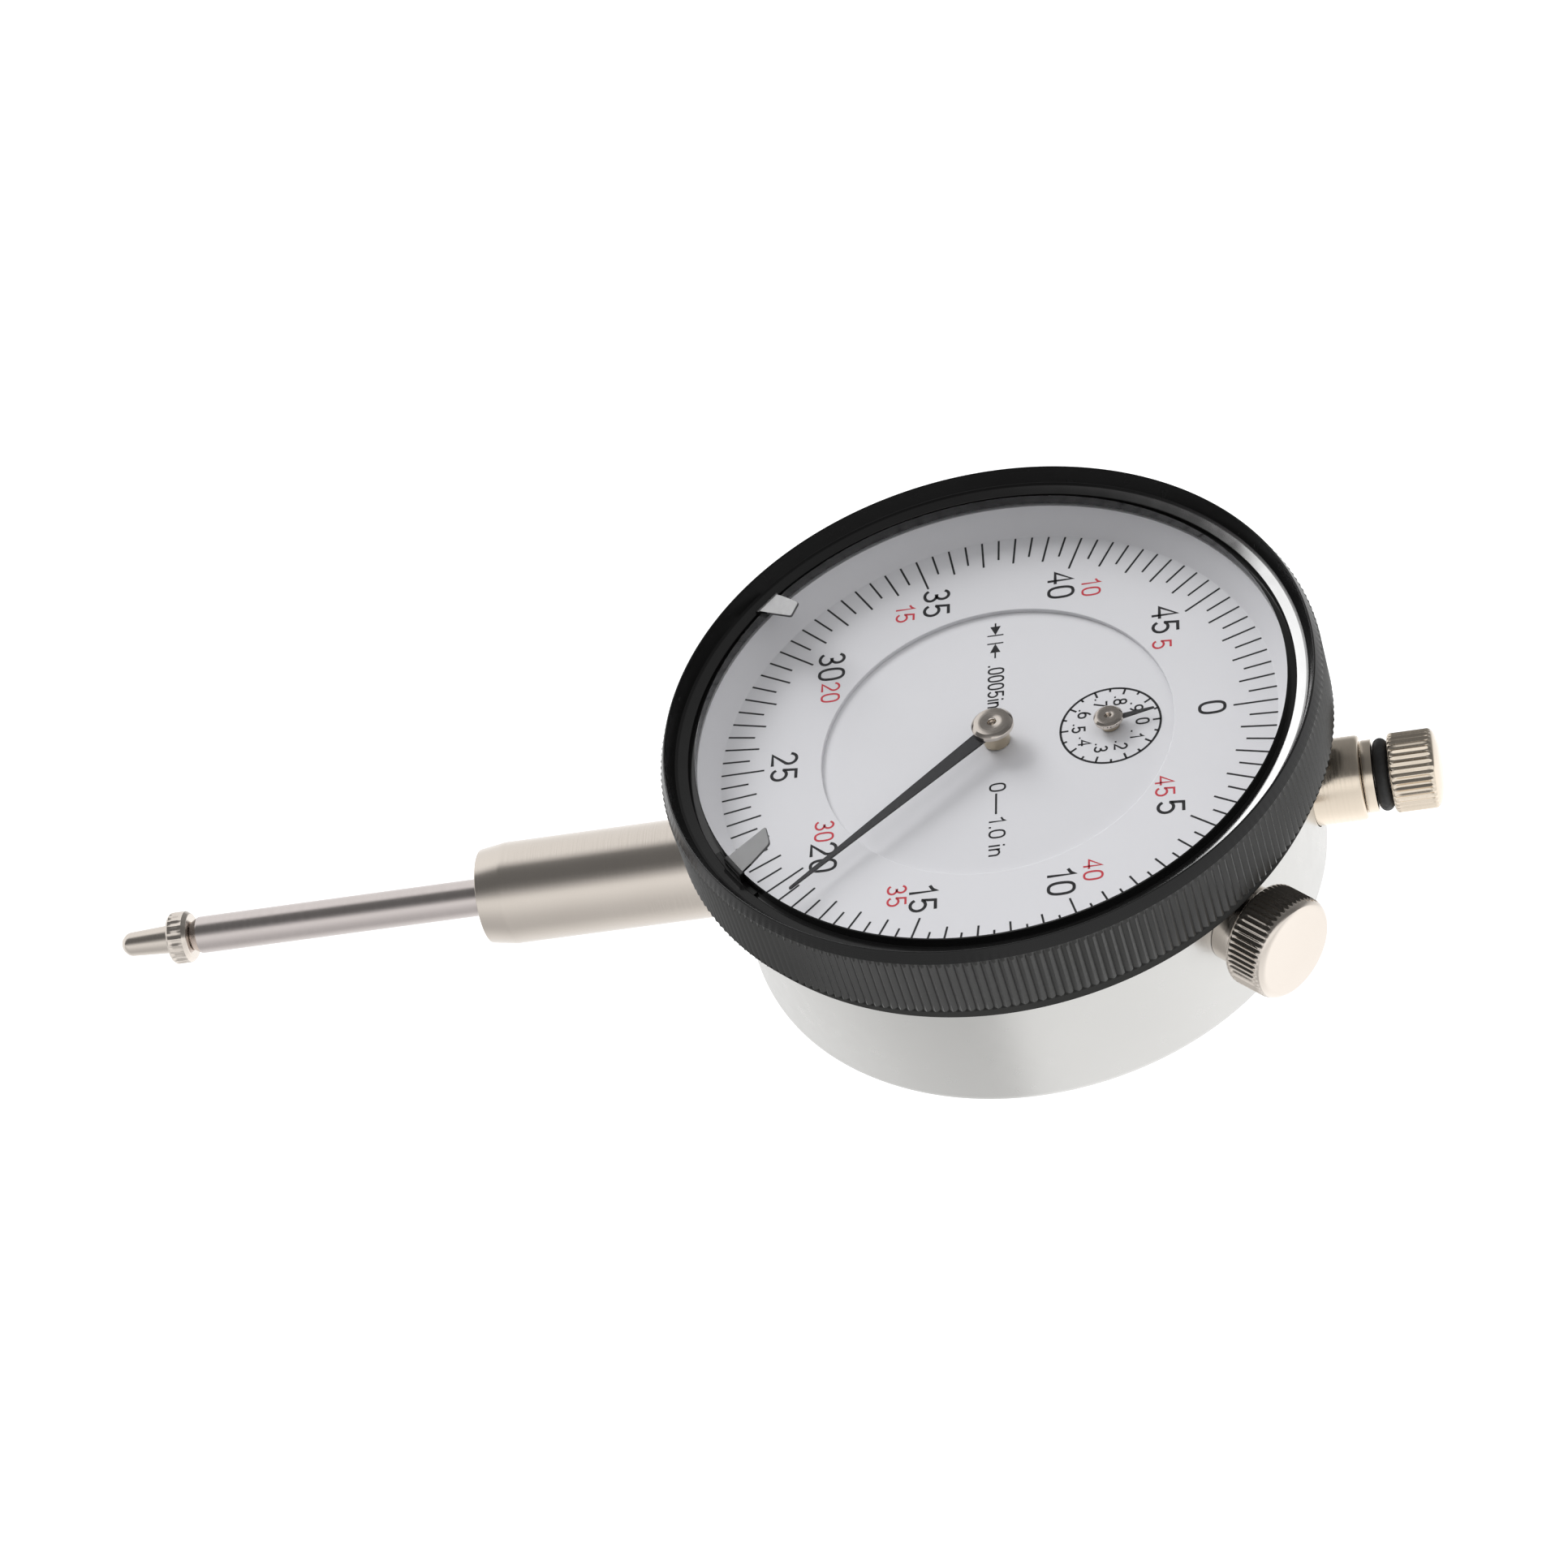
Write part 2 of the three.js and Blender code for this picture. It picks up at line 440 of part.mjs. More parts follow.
// A cheese-head screw with its seat at the given height, pointing down.
function smallScrew(name, seat, length, x, y) {
  const screw = solid(turned([[0, seat - length], [0.5, seat - length], [0.5, seat], [1.0, seat],
    [1.0, seat + 0.55], [0, seat + 0.55]], 8));
  const slot = solid(block([-2, -0.15, seat + 0.3], [2, 0.15, seat + 1]));
  const mesh = piece(name, steel, cut(screw, slot));
  mesh.position.set(x, y, 0);
  return mesh;
}

const screwBores = (places, depth) =>
  places.map(([x, y]) => solid(rod(0.6, depth, LOWER_PLATE + 1, x, y, 8)));

// The bracket under the lower plate carries the rack arbor's lower pivot, clear of the spindle.
function rackBridge() {
  const [left, right] = [RACK_ARBOR_X - 3.8, RACK_ARBOR_X + 3.8];
  const leg = solid(block([left, 5.9, -14.6], [right, 7.5, LOWER_PLATE - 0.05]));
  const foot = solid(block([left, RACK_ARBOR_Y - 1.4, -14.6], [right, 6.2, -13.8]));
  const pivot = solid(rod(PIVOT_HOLE_R, -15, -13, RACK_ARBOR_X, RACK_ARBOR_Y, 8));
  const threads = screwBores(RACK_SCREWS, LOWER_PLATE - 2.8);
  return piece('rack_bridge', brass, cut(join(leg, foot), pivot, ...threads));
}

// The guide pin slides in the rail's slot and keeps the spindle from turning.
function guideRail() {
  const bar = solid(block([-11, RAIL_Y - 0.95, SPINDLE_Z - 1.5],
    [20.3, RAIL_Y + 0.95, LOWER_PLATE - 0.05]));
  const slot = solid(block([GUIDE_PIN_X - 0.8, RAIL_Y - 2, SPINDLE_Z - 0.55],
    [GUIDE_PIN_X + TRAVEL + 0.8, RAIL_Y + 2, SPINDLE_Z + 0.55]));
  const threads = screwBores(RAIL_SCREWS, LOWER_PLATE - 1.4);
  return piece('guide_rail', steel, cut(bar, slot, ...threads));
}

function springPost() {
  const post = rod(0.5, SPINDLE_Z - 1.3, LOWER_PLATE + 0.8, SPRING_POST_X, SPRING_Y, 12);
  return piece('spring_post', steel, solid(post));
}

class Helix extends THREE.Curve {
  constructor(radius, start, end, turns) {
    super();
    Object.assign(this, { radius, start, end, turns });
  }

  getPoint(t, target = new THREE.Vector3()) {
    const angle = t * this.turns * 2 * Math.PI;
    return target.set(this.start + t * (this.end - this.start),
      SPRING_Y + this.radius * Math.cos(angle), SPINDLE_Z + this.radius * Math.sin(angle));
  }
}

// The return spring pulls the guide pin towards the stem.
function returnSpring() {
  const turns = 8, wire = 0.17;
  const section = new THREE.Shape().absarc(0, 0, wire, 0, 2 * Math.PI);
  const path = new Helix(1.0, SPRING_POST_X + 0.9, GUIDE_PIN_X - 0.9, turns);
  const coil = new THREE.ExtrudeGeometry(section,
    { steps: turns * 8, extrudePath: path, curveSegments: 3, bevelEnabled: false });
  return piece('return_spring', steel, solid(coil));
}

function gearPiece(name, material, teeth, module, phase, low, high, bore, x, y) {
  const mesh = piece(name, material, solid(plate(gearShape(teeth, module, phase, bore), low, high, 4)));
  mesh.position.set(x, y, 0);
  return mesh;
}

function rackPinion() {
  const arbor = solid(turned([[0, -14.45], [PIVOT_R, -14.45], [PIVOT_R, -13.7], [0.9, -13.7],
    [0.9, -9.6], [0.75, -9.6], [0.75, -3.2], [PIVOT_R, -3.2], [PIVOT_R, -2.2], [0, -2.2]], 10));
  const outline = gearShape(RACK_TEETH_ON_PINION, RACK_PITCH / Math.PI, rackPinionPhase);
  const teeth = solid(plate(outline, -12.7, -10.3));
  const mesh = piece('rack_pinion', steel, join(arbor, teeth));
  mesh.position.set(RACK_ARBOR_X, RACK_ARBOR_Y, 0);
  return mesh;
}

function centrePinion() {
  const arbor = solid(turned([[0, -9.1], [PIVOT_R, -9.1], [PIVOT_R, -8.1], [0.65, -8.1],
    [0.65, CENTRE_FACE - 0.05], [0.45, CENTRE_FACE - 0.05], [0.45, 1.5], [0, 1.5]], 12));
  const teeth = solid(plate(gearShape(CENTRE_TEETH, GEAR_MODULE, centrePhase), -7.9, -5.2));
  return piece('centre_pinion', steel, join(arbor, teeth));
}

// Hands lie along +X before they are turned to their reading.
function hand(name, { bore, eye, length, root, tip, low, high }) {
  const shape = new THREE.Shape();
  const shoulder = Math.asin(root / eye);
  shape.absarc(0, 0, eye, shoulder, 2 * Math.PI - shoulder, false);
  shape.lineTo(length, -tip);
  shape.lineTo(length, tip);
  shape.holes.push(circlePath(bore));
  return piece(name, handGrey, solid(plate(shape, low, high, 10)));
}

function mainHand() {
  const size = { bore: 0.86, eye: 1.35, length: 24.3, root: 0.75, tip: 0.13, low: 1.3, high: 1.5 };
  const mesh = hand('main_hand', size);
  mesh.rotation.z = -MAIN_HAND_READING / 50 * 2 * Math.PI;
  return mesh;
}

function mainHub() {
  const foot = CENTRE_FACE + 0.1;
  const bore = [[0, 1.62], [0.52, 1.62], [0.52, foot]];
  const neck = [[1.24, foot], [1.24, 1.2], [0.8, 1.2], [0.8, 1.56]];
  const head = [[1.92, 1.56], [1.92, 1.95], [1.63, 2.2], [0.39, 2.2], [0.39, 1.95], [0, 1.95]];
  return piece('main_hub', nickel, solid(turned([...bore, ...neck, ...head], 16)));
}

function counterArbor() {
  const shoulder = CENTRE_FACE - 0.05;
  const arbor = turned([[0, -5.0], [0.52, -5.0], [0.52, shoulder], [0.32, shoulder], [0.32, 0.62],
    [0, 0.62]], 12);
  const mesh = piece('counter_arbor', steel, solid(arbor));
  mesh.position.x = COUNTER_X;
  return mesh;
}

function counterHand() {
  const size = { bore: 0.56, eye: 0.85, length: 4.16, root: 0.32, tip: 0.1, low: 0.26, high: 0.42 };
  const mesh = hand('counter_hand', size);
  mesh.position.x = COUNTER_X;
  mesh.rotation.z = -COUNTER_HAND_READING * 2 * Math.PI;
  return mesh;
}

function counterHub() {
  const foot = CENTRE_FACE + 0.1;
  const bore = [[0, 0.68], [0.38, 0.68], [0.38, foot]];
  const neck = [[0.88, foot], [0.88, 0.2], [0.5, 0.2], [0.5, 0.46]];
  const head = [[1.33, 0.46], [1.33, 0.82], [1.09, 1.0], [0.31, 1.0], [0.31, 0.8], [0, 0.8]];
  const mesh = piece('counter_hub', nickel, solid(turned([...bore, ...neck, ...head], 12)));
  mesh.position.x = COUNTER_X;
  return mesh;
}

function takeupArbor() {
  const mesh = piece('takeup_arbor', steel, solid(turned([[0, -9.1], [PIVOT_R, -9.1], [PIVOT_R, -8.1],
    [0.6, -8.1], [0.6, -3.2], [PIVOT_R, -3.2], [PIVOT_R, -2.2], [0, -2.2]], 12)));
  mesh.position.set(TAKEUP_X, TAKEUP_Y, 0);
  return mesh;
}

// The hairspring keeps the gear train's backlash taken up.
const HAIRSPRING = { start: 0.85, end: 4.0, turns: 4, thickness: 0.14, low: -5.2, high: -4.6 };

function hairspringStudPlace() {
  const reach = HAIRSPRING.end + 0.75;
  return [TAKEUP_X + reach, TAKEUP_Y];
}

function hairspring() {
  const { start, end, turns, thickness, low, high } = HAIRSPRING;
  const steps = turns * 12;
  const edge = (offset) => Array.from({ length: steps + 1 }, (_, i) => {
    const radius = start + (end - start) * i / steps + offset;
    const angle = i / steps * turns * 2 * Math.PI;
    return new THREE.Vector2(radius * Math.cos(angle), radius * Math.sin(angle));
  });
  const outline = [...edge(thickness / 2), ...edge(-thickness / 2).reverse()];
  const mesh = piece('hairspring', steel, solid(plate(new THREE.Shape(outline), low, high)));
  mesh.position.set(TAKEUP_X, TAKEUP_Y, 0);
  return mesh;
}

function hairspringStud() {
  return piece('hairspring_stud', steel,
    solid(rod(0.4, HAIRSPRING.low - 0.2, UPPER_PLATE + 0.8, ...hairspringStudPlace(), 12)));
}

// ---- bezel clamp ----
function clampCollar() {
  const ring = solid(alongClamp(ringTurned([[1.45, CASE_R - 0.8], [3.65, CASE_R - 0.8], [3.65, 28.85],
    [3.45, 29.05], [1.45, 29.05]], 24)));
  const caseSide = solid(rod(CASE_R + 0.1, CASE_BOTTOM, CASE_TOP, 0, 0, RING_SEGMENTS));
  return piece('clamp_collar', nickel, cut(ring, caseSide));
}

function clampKnob() {
  const start = 29.15;
  const knob = turned([[0, 23.9], [1.25, 23.9], [1.25, start], [CLAMP_KNOB_R - 0.35, start],
    [CLAMP_KNOB_R, start + 0.35], [CLAMP_KNOB_R, CLAMP_KNOB_END - 0.55],
    [CLAMP_KNOB_R - 0.45, CLAMP_KNOB_END], [0, CLAMP_KNOB_END]], 24);
  return piece('clamp_knob', nickel, solid(alongClamp(knob)));
}

// The knob's screw draws the shoe outwards, against the inside of the bezel's skirt.
function clampShoe() {
  const body = solid(block([23.7, -1.8, -10.9], [25.1, 1.8, -1.9]));
  const lip = solid(block([25.0, -1.8, -3.6], [27.1, 1.8, -1.9]));
  const bore = solid(rod(1.4, 20, 28).rotateY(Math.PI / 2).translate(0, 0, CLAMP_Z));
  const bezelSide = solid(ringTurned([[27.15, -5], [30, -5], [30, 0], [27.15, 0]], RING_SEGMENTS));
  const mesh = piece('clamp_shoe', brass, cut(join(body, lip), bore, bezelSide));
  mesh.rotation.z = CLAMP_AZIMUTH * deg;
  return mesh;
}

// ---- assembly ----
function gathered(...meshes) {
  const group = new THREE.Group();
  group.add(...meshes);
  return group;
}

const caseGroup = gathered(caseCup(), backCover(), stem(), stemBush(), topSleeve(), snapRing(),
  clampCollar(), ...coverScrewPlaces().map(([x, y], i) => coverScrew(i + 1, x, y)));

// Screws named and numbered in turn, with their heads on top of a plate.
function plateScrews(name, plateBottom, length, places) {
  const seat = plateBottom + PLATE_THICKNESS;
  return places.map(([x, y], i) => smallScrew(`${name}_${i + 1}`, seat, length, x, y));
}

const movementGroup = gathered(lowerPlate(), upperPlate(), rackBridge(), guideRail(),
  springPost(), returnSpring(), hairspringStud(), centreDial(),
  ...pillarPlaces().map(([x, y], i) => pillar(i + 1, x, y)),
  ...plateScrews('plate_screw', UPPER_PLATE, 2.6, pillarPlaces()),
  ...plateScrews('bridge_screw', LOWER_PLATE, 3.2, RACK_SCREWS),
  ...plateScrews('rail_screw', LOWER_PLATE, 2.1, RAIL_SCREWS));
const bezelGroup = gathered(bezelRing(), crystal(), dialRing(), limitClip(1), limitClip(2));
const plungerGroup = gathered(spindle(), contactPoint(), guidePin(), stopWasher(), oRing(), crownCap());

// The drive gear and the transfer pinion are fixed on the rack pinion's arbor.
const rackArborGears = [
  gearPiece('drive_gear', brass, DRIVE_TEETH, GEAR_MODULE, drivePhase, -6.3, -5.6, 0.85,
    RACK_ARBOR_X, RACK_ARBOR_Y),
  gearPiece('transfer_pinion', steel, TRANSFER_TEETH, COUNTER_MODULE, transferPhase, -4.8, -4.0, 0.82,
    RACK_ARBOR_X, RACK_ARBOR_Y),
];
const trainGroup = gathered(rackPinion(), ...rackArborGears, centrePinion(), counterArbor(),
  takeupArbor(), hairspring(),
  gearPiece('counter_gear', brass, COUNTER_TEETH, COUNTER_MODULE, counterPhase, -4.8, -4.0, 0.6,
    COUNTER_X, 0),
  gearPiece('takeup_gear', brass, TAKEUP_TEETH, GEAR_MODULE, takeupPhase, -7.6, -7.0, 0.68,
    TAKEUP_X, TAKEUP_Y));
const handGroup = gathered(mainHand(), mainHub(), counterHand(), counterHub());
const clampGroup = gathered(clampKnob(), clampShoe());

const groups = [caseGroup, movementGroup, bezelGroup, plungerGroup, trainGroup, handGroup, clampGroup];
const indicator = gathered(...groups);
indicator.position.z = LUG_DROP - COVER_BOTTOM;
export default indicator;
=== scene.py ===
"""The looks of the dial indicator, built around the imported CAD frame.

Lengths in this file are in millimetres, and heights are measured from the printed face of the
dial, as in the CAD source. Meshes are made in metres, in the row frame.
"""

import json
import math

import bmesh
import bpy
from mathutils import Matrix, Vector


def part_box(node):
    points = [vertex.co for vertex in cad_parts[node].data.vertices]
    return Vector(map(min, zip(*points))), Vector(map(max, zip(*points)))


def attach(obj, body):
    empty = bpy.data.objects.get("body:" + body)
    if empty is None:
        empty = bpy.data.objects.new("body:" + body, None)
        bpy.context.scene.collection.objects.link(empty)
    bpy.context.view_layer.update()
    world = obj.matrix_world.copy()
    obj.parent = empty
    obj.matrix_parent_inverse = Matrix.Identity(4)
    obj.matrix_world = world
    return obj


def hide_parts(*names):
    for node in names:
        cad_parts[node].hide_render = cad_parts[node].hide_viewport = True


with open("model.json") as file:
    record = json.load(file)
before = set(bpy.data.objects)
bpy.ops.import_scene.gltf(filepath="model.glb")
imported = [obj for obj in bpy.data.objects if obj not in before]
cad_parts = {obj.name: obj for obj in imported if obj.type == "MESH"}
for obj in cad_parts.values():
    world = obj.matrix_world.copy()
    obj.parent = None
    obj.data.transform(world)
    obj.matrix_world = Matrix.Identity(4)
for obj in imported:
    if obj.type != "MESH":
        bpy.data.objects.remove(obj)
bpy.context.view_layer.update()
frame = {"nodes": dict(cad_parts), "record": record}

MM = 0.001
RIM_HEIGHT = 2.5  # the dial ring's highest point, above its printed face
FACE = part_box("dial_ring")[1].z / MM - RIM_HEIGHT
SPINDLE_Z = -11.47
CLAMP_Z = -8.57
CLAMP_AZIMUTH = math.radians(-41.8)
COUNTER_X = 10.29
SCALE_R = 25.48
STEP_R = 16.1  # where the graduated ring ends and the fixed middle begins
CENTRE_FACE = -0.4  # the fixed middle of the dial lies in a shallow recess
MAIN_READING = 19.2 / 50  # the hands' places, as shares of a turn
COUNTER_READING = 0.97

QUARTER = math.pi / 2
DIAL = Matrix.Translation((0, 0, FACE))
COUNTER = Matrix.Translation((COUNTER_X, 0, FACE))
SPINDLE = Matrix.Translation((0, 0, FACE + SPINDLE_Z)) @ Matrix.Rotation(QUARTER, 4, "Y")
CLAMP = (
    Matrix.Translation((0, 0, FACE + CLAMP_Z))
    @ Matrix.Rotation(CLAMP_AZIMUTH, 4, "Z")
    @ Matrix.Rotation(QUARTER, 4, "Y")
)


# ---- materials ----
NOISE_LOW, NOISE_HIGH = 0.3, 0.7
COLOUR_COARSENESS = 8  # how much coarser the colour's variation is than the grain
TURNED_COLOUR_SCALE = 160
TURNED_DETAIL = 2.0
TURNED_BUMP = 0.1
UP = (0, 0, 1)
ORIGIN = (0, 0, 0)


class Nodes:
    """A material's node tree, with short ways to add nodes and join them."""

    def __init__(self, name):
        self.material = bpy.data.materials.new(name)
        self.material.use_nodes = True
        self.tree = self.material.node_tree
        self.shader = self.tree.nodes["Principled BSDF"]

    def add(self, kind, **settings):
        node = self.tree.nodes.new(kind)
        for key, value in settings.items():
            setattr(node, key, value)
        return node

    def join(self, output, target):
        self.tree.links.new(output, target)

    def position(self):
        return self.add("ShaderNodeTexCoord").outputs["Object"]

    def noise(self, vector, scale, detail=3.0, dimensions="3D"):
        node = self.add("ShaderNodeTexNoise", noise_dimensions=dimensions)
        node.inputs["Scale"].default_value = scale
        node.inputs["Detail"].default_value = detail
        self.join(vector, node.inputs["W" if dimensions == "1D" else "Vector"])
        return node.outputs["Fac"]

    def math(self, operation, *values):
        node = self.add("ShaderNodeMath", operation=operation)
        for socket, value in zip(node.inputs, values):
            if isinstance(value, (int, float)):
                socket.default_value = value
            else:
                self.join(value, socket)
        return node.outputs[0]

    def spread(self, value, low, high):
        """Noise mostly lies between NOISE_LOW and NOISE_HIGH; this spreads it from low to high."""
        node = self.add("ShaderNodeMapRange")
        ends = {"From Min": NOISE_LOW, "From Max": NOISE_HIGH, "To Min": low, "To Max": high}
        for key, number in ends.items():
            node.inputs[key].default_value = number
        self.join(value, node.inputs["Value"])
        return node.outputs["Result"]

    def blend(self, value, first, second):
        node = self.add("ShaderNodeMix", data_type="RGBA")
        node.inputs["A"].default_value = (*first, 1)
        node.inputs["B"].default_value = (*second, 1)
        self.join(value, node.inputs["Factor"])
        return node.outputs["Result"]

    def set_shader(self, sockets):
        """Sets the shader's sockets by name. An underscore stands for a space."""
        for key, value in sockets.items():
            self.shader.inputs[key.replace("_", " ")].default_value = value

    def bump(self, height, strength, distance):
        node = self.add("ShaderNodeBump")
        node.inputs["Strength"].default_value = strength
        node.inputs["Distance"].default_value = distance * MM
        self.join(height, node.inputs["Height"])
        self.join(node.outputs["Normal"], self.shader.inputs["Normal"])

    def lathe_lines(self, axis, centre):
        """A number that changes along a turned surface and is the same all round it."""
        offset = self.add("ShaderNodeVectorMath", operation="SUBTRACT")
        self.join(self.position(), offset.inputs[0])
        offset.inputs[1].default_value = [value * MM for value in centre]
        along = self.add("ShaderNodeVectorMath", operation="DOT_PRODUCT")
        self.join(offset.outputs[0], along.inputs[0])
        along.inputs[1].default_value = axis
        length = self.add("ShaderNodeVectorMath", operation="LENGTH")
        self.join(offset.outputs[0], length.inputs[0])
        squared = self.math("POWER", length.outputs["Value"], 2)
        forward = self.math("POWER", along.outputs["Value"], 2)
        radius = self.math("SQRT", self.math("SUBTRACT", squared, forward))
        return self.math("ADD", radius, along.outputs["Value"])


def finish(name, dark, light, rough, metallic, scale=900, bump=None, **sockets):
    """A surface whose colour and roughness vary softly. bump gives it a grain."""
    n = Nodes(name)
    soft = n.noise(n.position(), scale / COLOUR_COARSENESS)
    grain = n.noise(n.position(), scale)
    n.join(n.blend(soft, dark, light), n.shader.inputs["Base Color"])
    n.join(n.spread(grain, *rough), n.shader.inputs["Roughness"])
    n.set_shader({"Metallic": metallic, **sockets})
    if bump:
        n.bump(grain, *bump)
    return n.material


def turned(name, dark, light, rough, axis=UP, centre=ORIGIN, pitch=0.12, depth=0.004, **sockets):
    """A turned surface, metal unless Metallic says otherwise, with fine lines round the axis."""
    n = Nodes(name)
    lines = n.noise(n.lathe_lines(axis, centre), 1 / (pitch * MM), TURNED_DETAIL, "1D")
    soft = n.noise(n.position(), TURNED_COLOUR_SCALE)
    n.join(n.blend(soft, dark, light), n.shader.inputs["Base Color"])
    n.join(n.spread(lines, *rough), n.shader.inputs["Roughness"])
    n.set_shader({"Metallic": 1.0, **sockets})
    if depth:
        n.bump(lines, TURNED_BUMP, depth)
    return n.material


# base colours, as a darker and a lighter one
NICKEL = ((0.67, 0.61, 0.55), (0.72, 0.66, 0.60))
WARM = ((0.72, 0.63, 0.52), (0.77, 0.68, 0.57))
STEEL = ((0.62, 0.57, 0.55), (0.66, 0.60, 0.585))
CASE = ((0.58, 0.575, 0.56), (0.61, 0.605, 0.59))
BLACK = ((0.005, 0.005, 0.005), (0.010, 0.010, 0.010))
SATIN_BLACK = ((0.010, 0.010, 0.009), (0.018, 0.018, 0.017))
MATT_BLACK = ((0.034, 0.034, 0.033), (0.044, 0.044, 0.043))
EDGE_SHADE_BLACK = ((0.012, 0.012, 0.012), (0.03, 0.03, 0.03))
INK_BLACK = ((0.012, 0.012, 0.014), (0.02, 0.02, 0.022))
INK_RED = ((0.50, 0.035, 0.05), (0.60, 0.05, 0.07))
RUBBER = ((0.012, 0.012, 0.012), (0.02, 0.02, 0.02))
CLIP_GREY = ((0.06, 0.06, 0.062), (0.11, 0.11, 0.113))
HAND_GREY = ((0.035, 0.035, 0.037), (0.055, 0.055, 0.058))
DIAL_WHITE = ((0.685, 0.685, 0.705), (0.705, 0.705, 0.725))
PALE_BRASS = ((0.5, 0.43, 0.32), (0.62, 0.54, 0.42))
BRASS = ((0.52, 0.37, 0.15), (0.62, 0.46, 0.2))

ALONG = (1, 0, 0)
SPINDLE_CENTRE = (0, 0, FACE + SPINDLE_Z)
CLAMP_AXIS = (math.cos(CLAMP_AZIMUTH), math.sin(CLAMP_AZIMUTH), 0)
CLAMP_CENTRE = (0, 0, FACE + CLAMP_Z)
COUNTER_CENTRE = (COUNTER_X, 0, 0)

case_paint = finish("case_satin", *CASE, (0.27, 0.33), 0.85, 700)
stem_nickel = turned("nickel_stem", *NICKEL, (0.16, 0.24), ALONG, SPINDLE_CENTRE)
sleeve_nickel = turned("nickel_sleeve", *WARM, (0.14, 0.24), ALONG, SPINDLE_CENTRE, 0.2)
spindle_steel = turned("steel_spindle", *STEEL, (0.2, 0.25), ALONG, SPINDLE_CENTRE, 0.6, 0)
knob_nickel = turned("nickel_knob", *NICKEL, (0.1, 0.2), CLAMP_AXIS, CLAMP_CENTRE, 0.2)
hub_nickel = turned("nickel_hub", *NICKEL, (0.06, 0.12), depth=0)
counter_nickel = turned("nickel_counter", *NICKEL, (0.06, 0.12), UP, COUNTER_CENTRE, depth=0)
bezel_gloss = finish("bezel_gloss", *BLACK, (0.12, 0.18), 0, 700, Specular_IOR_Level=0.8)
bezel_matt = finish("bezel_matt", *MATT_BLACK, (0.5, 0.6), 0, 2400, Specular_IOR_Level=0)
bezel_black = finish("bezel_black", *BLACK, (0.2, 0.28), 0, 700, Specular_IOR_Level=0.1)
bezel_lines = turned(
    "bezel_turned", *BLACK, (0.2, 0.3), pitch=0.2, depth=0.05, Metallic=0, Specular_IOR_Level=0.3
)
# the crystal's edge: an opaque dark colour, as painted shade for the groove by the bezel's lip
crystal_edge_shade = finish("crystal_edge_shade", *EDGE_SHADE_BLACK, (0.1, 0.2), 0, 700)
clip_steel = finish("clip_steel", *CLIP_GREY, (0.35, 0.45), 0, 2400)
bezel_satin = finish("bezel_knurl", *SATIN_BLACK, (0.28, 0.4), 0, 2400)
dial_white = finish("dial_white", *DIAL_WHITE, (0.42, 0.5), 0)
ink_black = finish("ink_black", *INK_BLACK, (0.5, 0.6), 0)
ink_red = finish("ink_red", *INK_RED, (0.45, 0.55), 0)
hand_paint = finish("hand_grey", *HAND_GREY, (0.3, 0.42), 0.3, 3000, (0.1, 0.01))
rubber = finish("rubber", *RUBBER, (0.55, 0.75), 0, 2200, (0.2, 0.03))
neck_brass = turned("neck_brass", *PALE_BRASS, (0.08, 0.16), pitch=0.3, depth=0.02)
brass = turned("brass", *BRASS, (0.25, 0.4), pitch=0.15)
steel = finish("steel", *STEEL, (0.25, 0.4), 1, 2600, (0.12, 0.02))

CRYSTAL_TINT = (0.975, 0.975, 0.977, 1)
CRYSTAL_ROUGHNESS = 0.03
SLANT_POWER = 5
SLANT_SHINE, FACING_SHINE = 0.25, 0.008  # the share of light that is reflected


def clear_crystal():
    """Clear plastic: it shows what is behind it and shines more at a slant."""
    n = Nodes("crystal_clear")
    n.tree.nodes.remove(n.shader)
    through = n.add("ShaderNodeBsdfTransparent")
    through.inputs["Color"].default_value = CRYSTAL_TINT
    shine = n.add("ShaderNodeBsdfGlossy")
    shine.inputs["Roughness"].default_value = CRYSTAL_ROUGHNESS
    slant = n.math("POWER", n.add("ShaderNodeLayerWeight").outputs["Facing"], SLANT_POWER)
    mix = n.add("ShaderNodeMixShader")
    n.join(n.math("MULTIPLY_ADD", slant, SLANT_SHINE, FACING_SHINE), mix.inputs[0])
    n.join(through.outputs[0], mix.inputs[1])
    n.join(shine.outputs[0], mix.inputs[2])
    n.join(mix.outputs[0], n.tree.nodes["Material Output"].inputs["Surface"])
    return n.material


crystal_clear = clear_crystal()


# ---- meshes ----
CREASE = 32  # degrees; sharper corners stay sharp
BEVEL_ANGLE = 35  # degrees; sharper edges are bevelled
CURVE_STEPS = 4
TINY = 1e-6


def smooth(mesh, crease):
    mesh.shade_smooth()
    mesh.set_sharp_from_angle(angle=math.radians(crease))


def add_piece(name, vertices, faces, place, material, body, slot, crease=CREASE):
    """A mesh piece in the row frame that rides on a CAD body."""
    mesh = bpy.data.meshes.new(name)
    mesh.from_pydata([MM * (place @ Vector(v)) for v in vertices], [], faces)
    clean = bmesh.new()
    clean.from_mesh(mesh)
    bmesh.ops.recalc_face_normals(clean, faces=clean.faces)
    clean.to_mesh(mesh)
    clean.free()
    smooth(mesh, crease)
    mesh.materials.append(material)
    piece = bpy.data.objects.new(name, mesh)
    bpy.context.scene.collection.objects.link(piece)
    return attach(piece, body)


def paint_faces(piece, materials, choose):
    """Adds materials to a piece. For each face choose(radius, height) gives a material's number,
    where 0 is the one that the piece had."""
    for material in materials:
        piece.data.materials.append(material)
    for face in piece.data.polygons:
        radius = math.hypot(face.center.x, face.center.y) / MM
        face.material_index = int(choose(radius, face.center.z / MM - FACE))


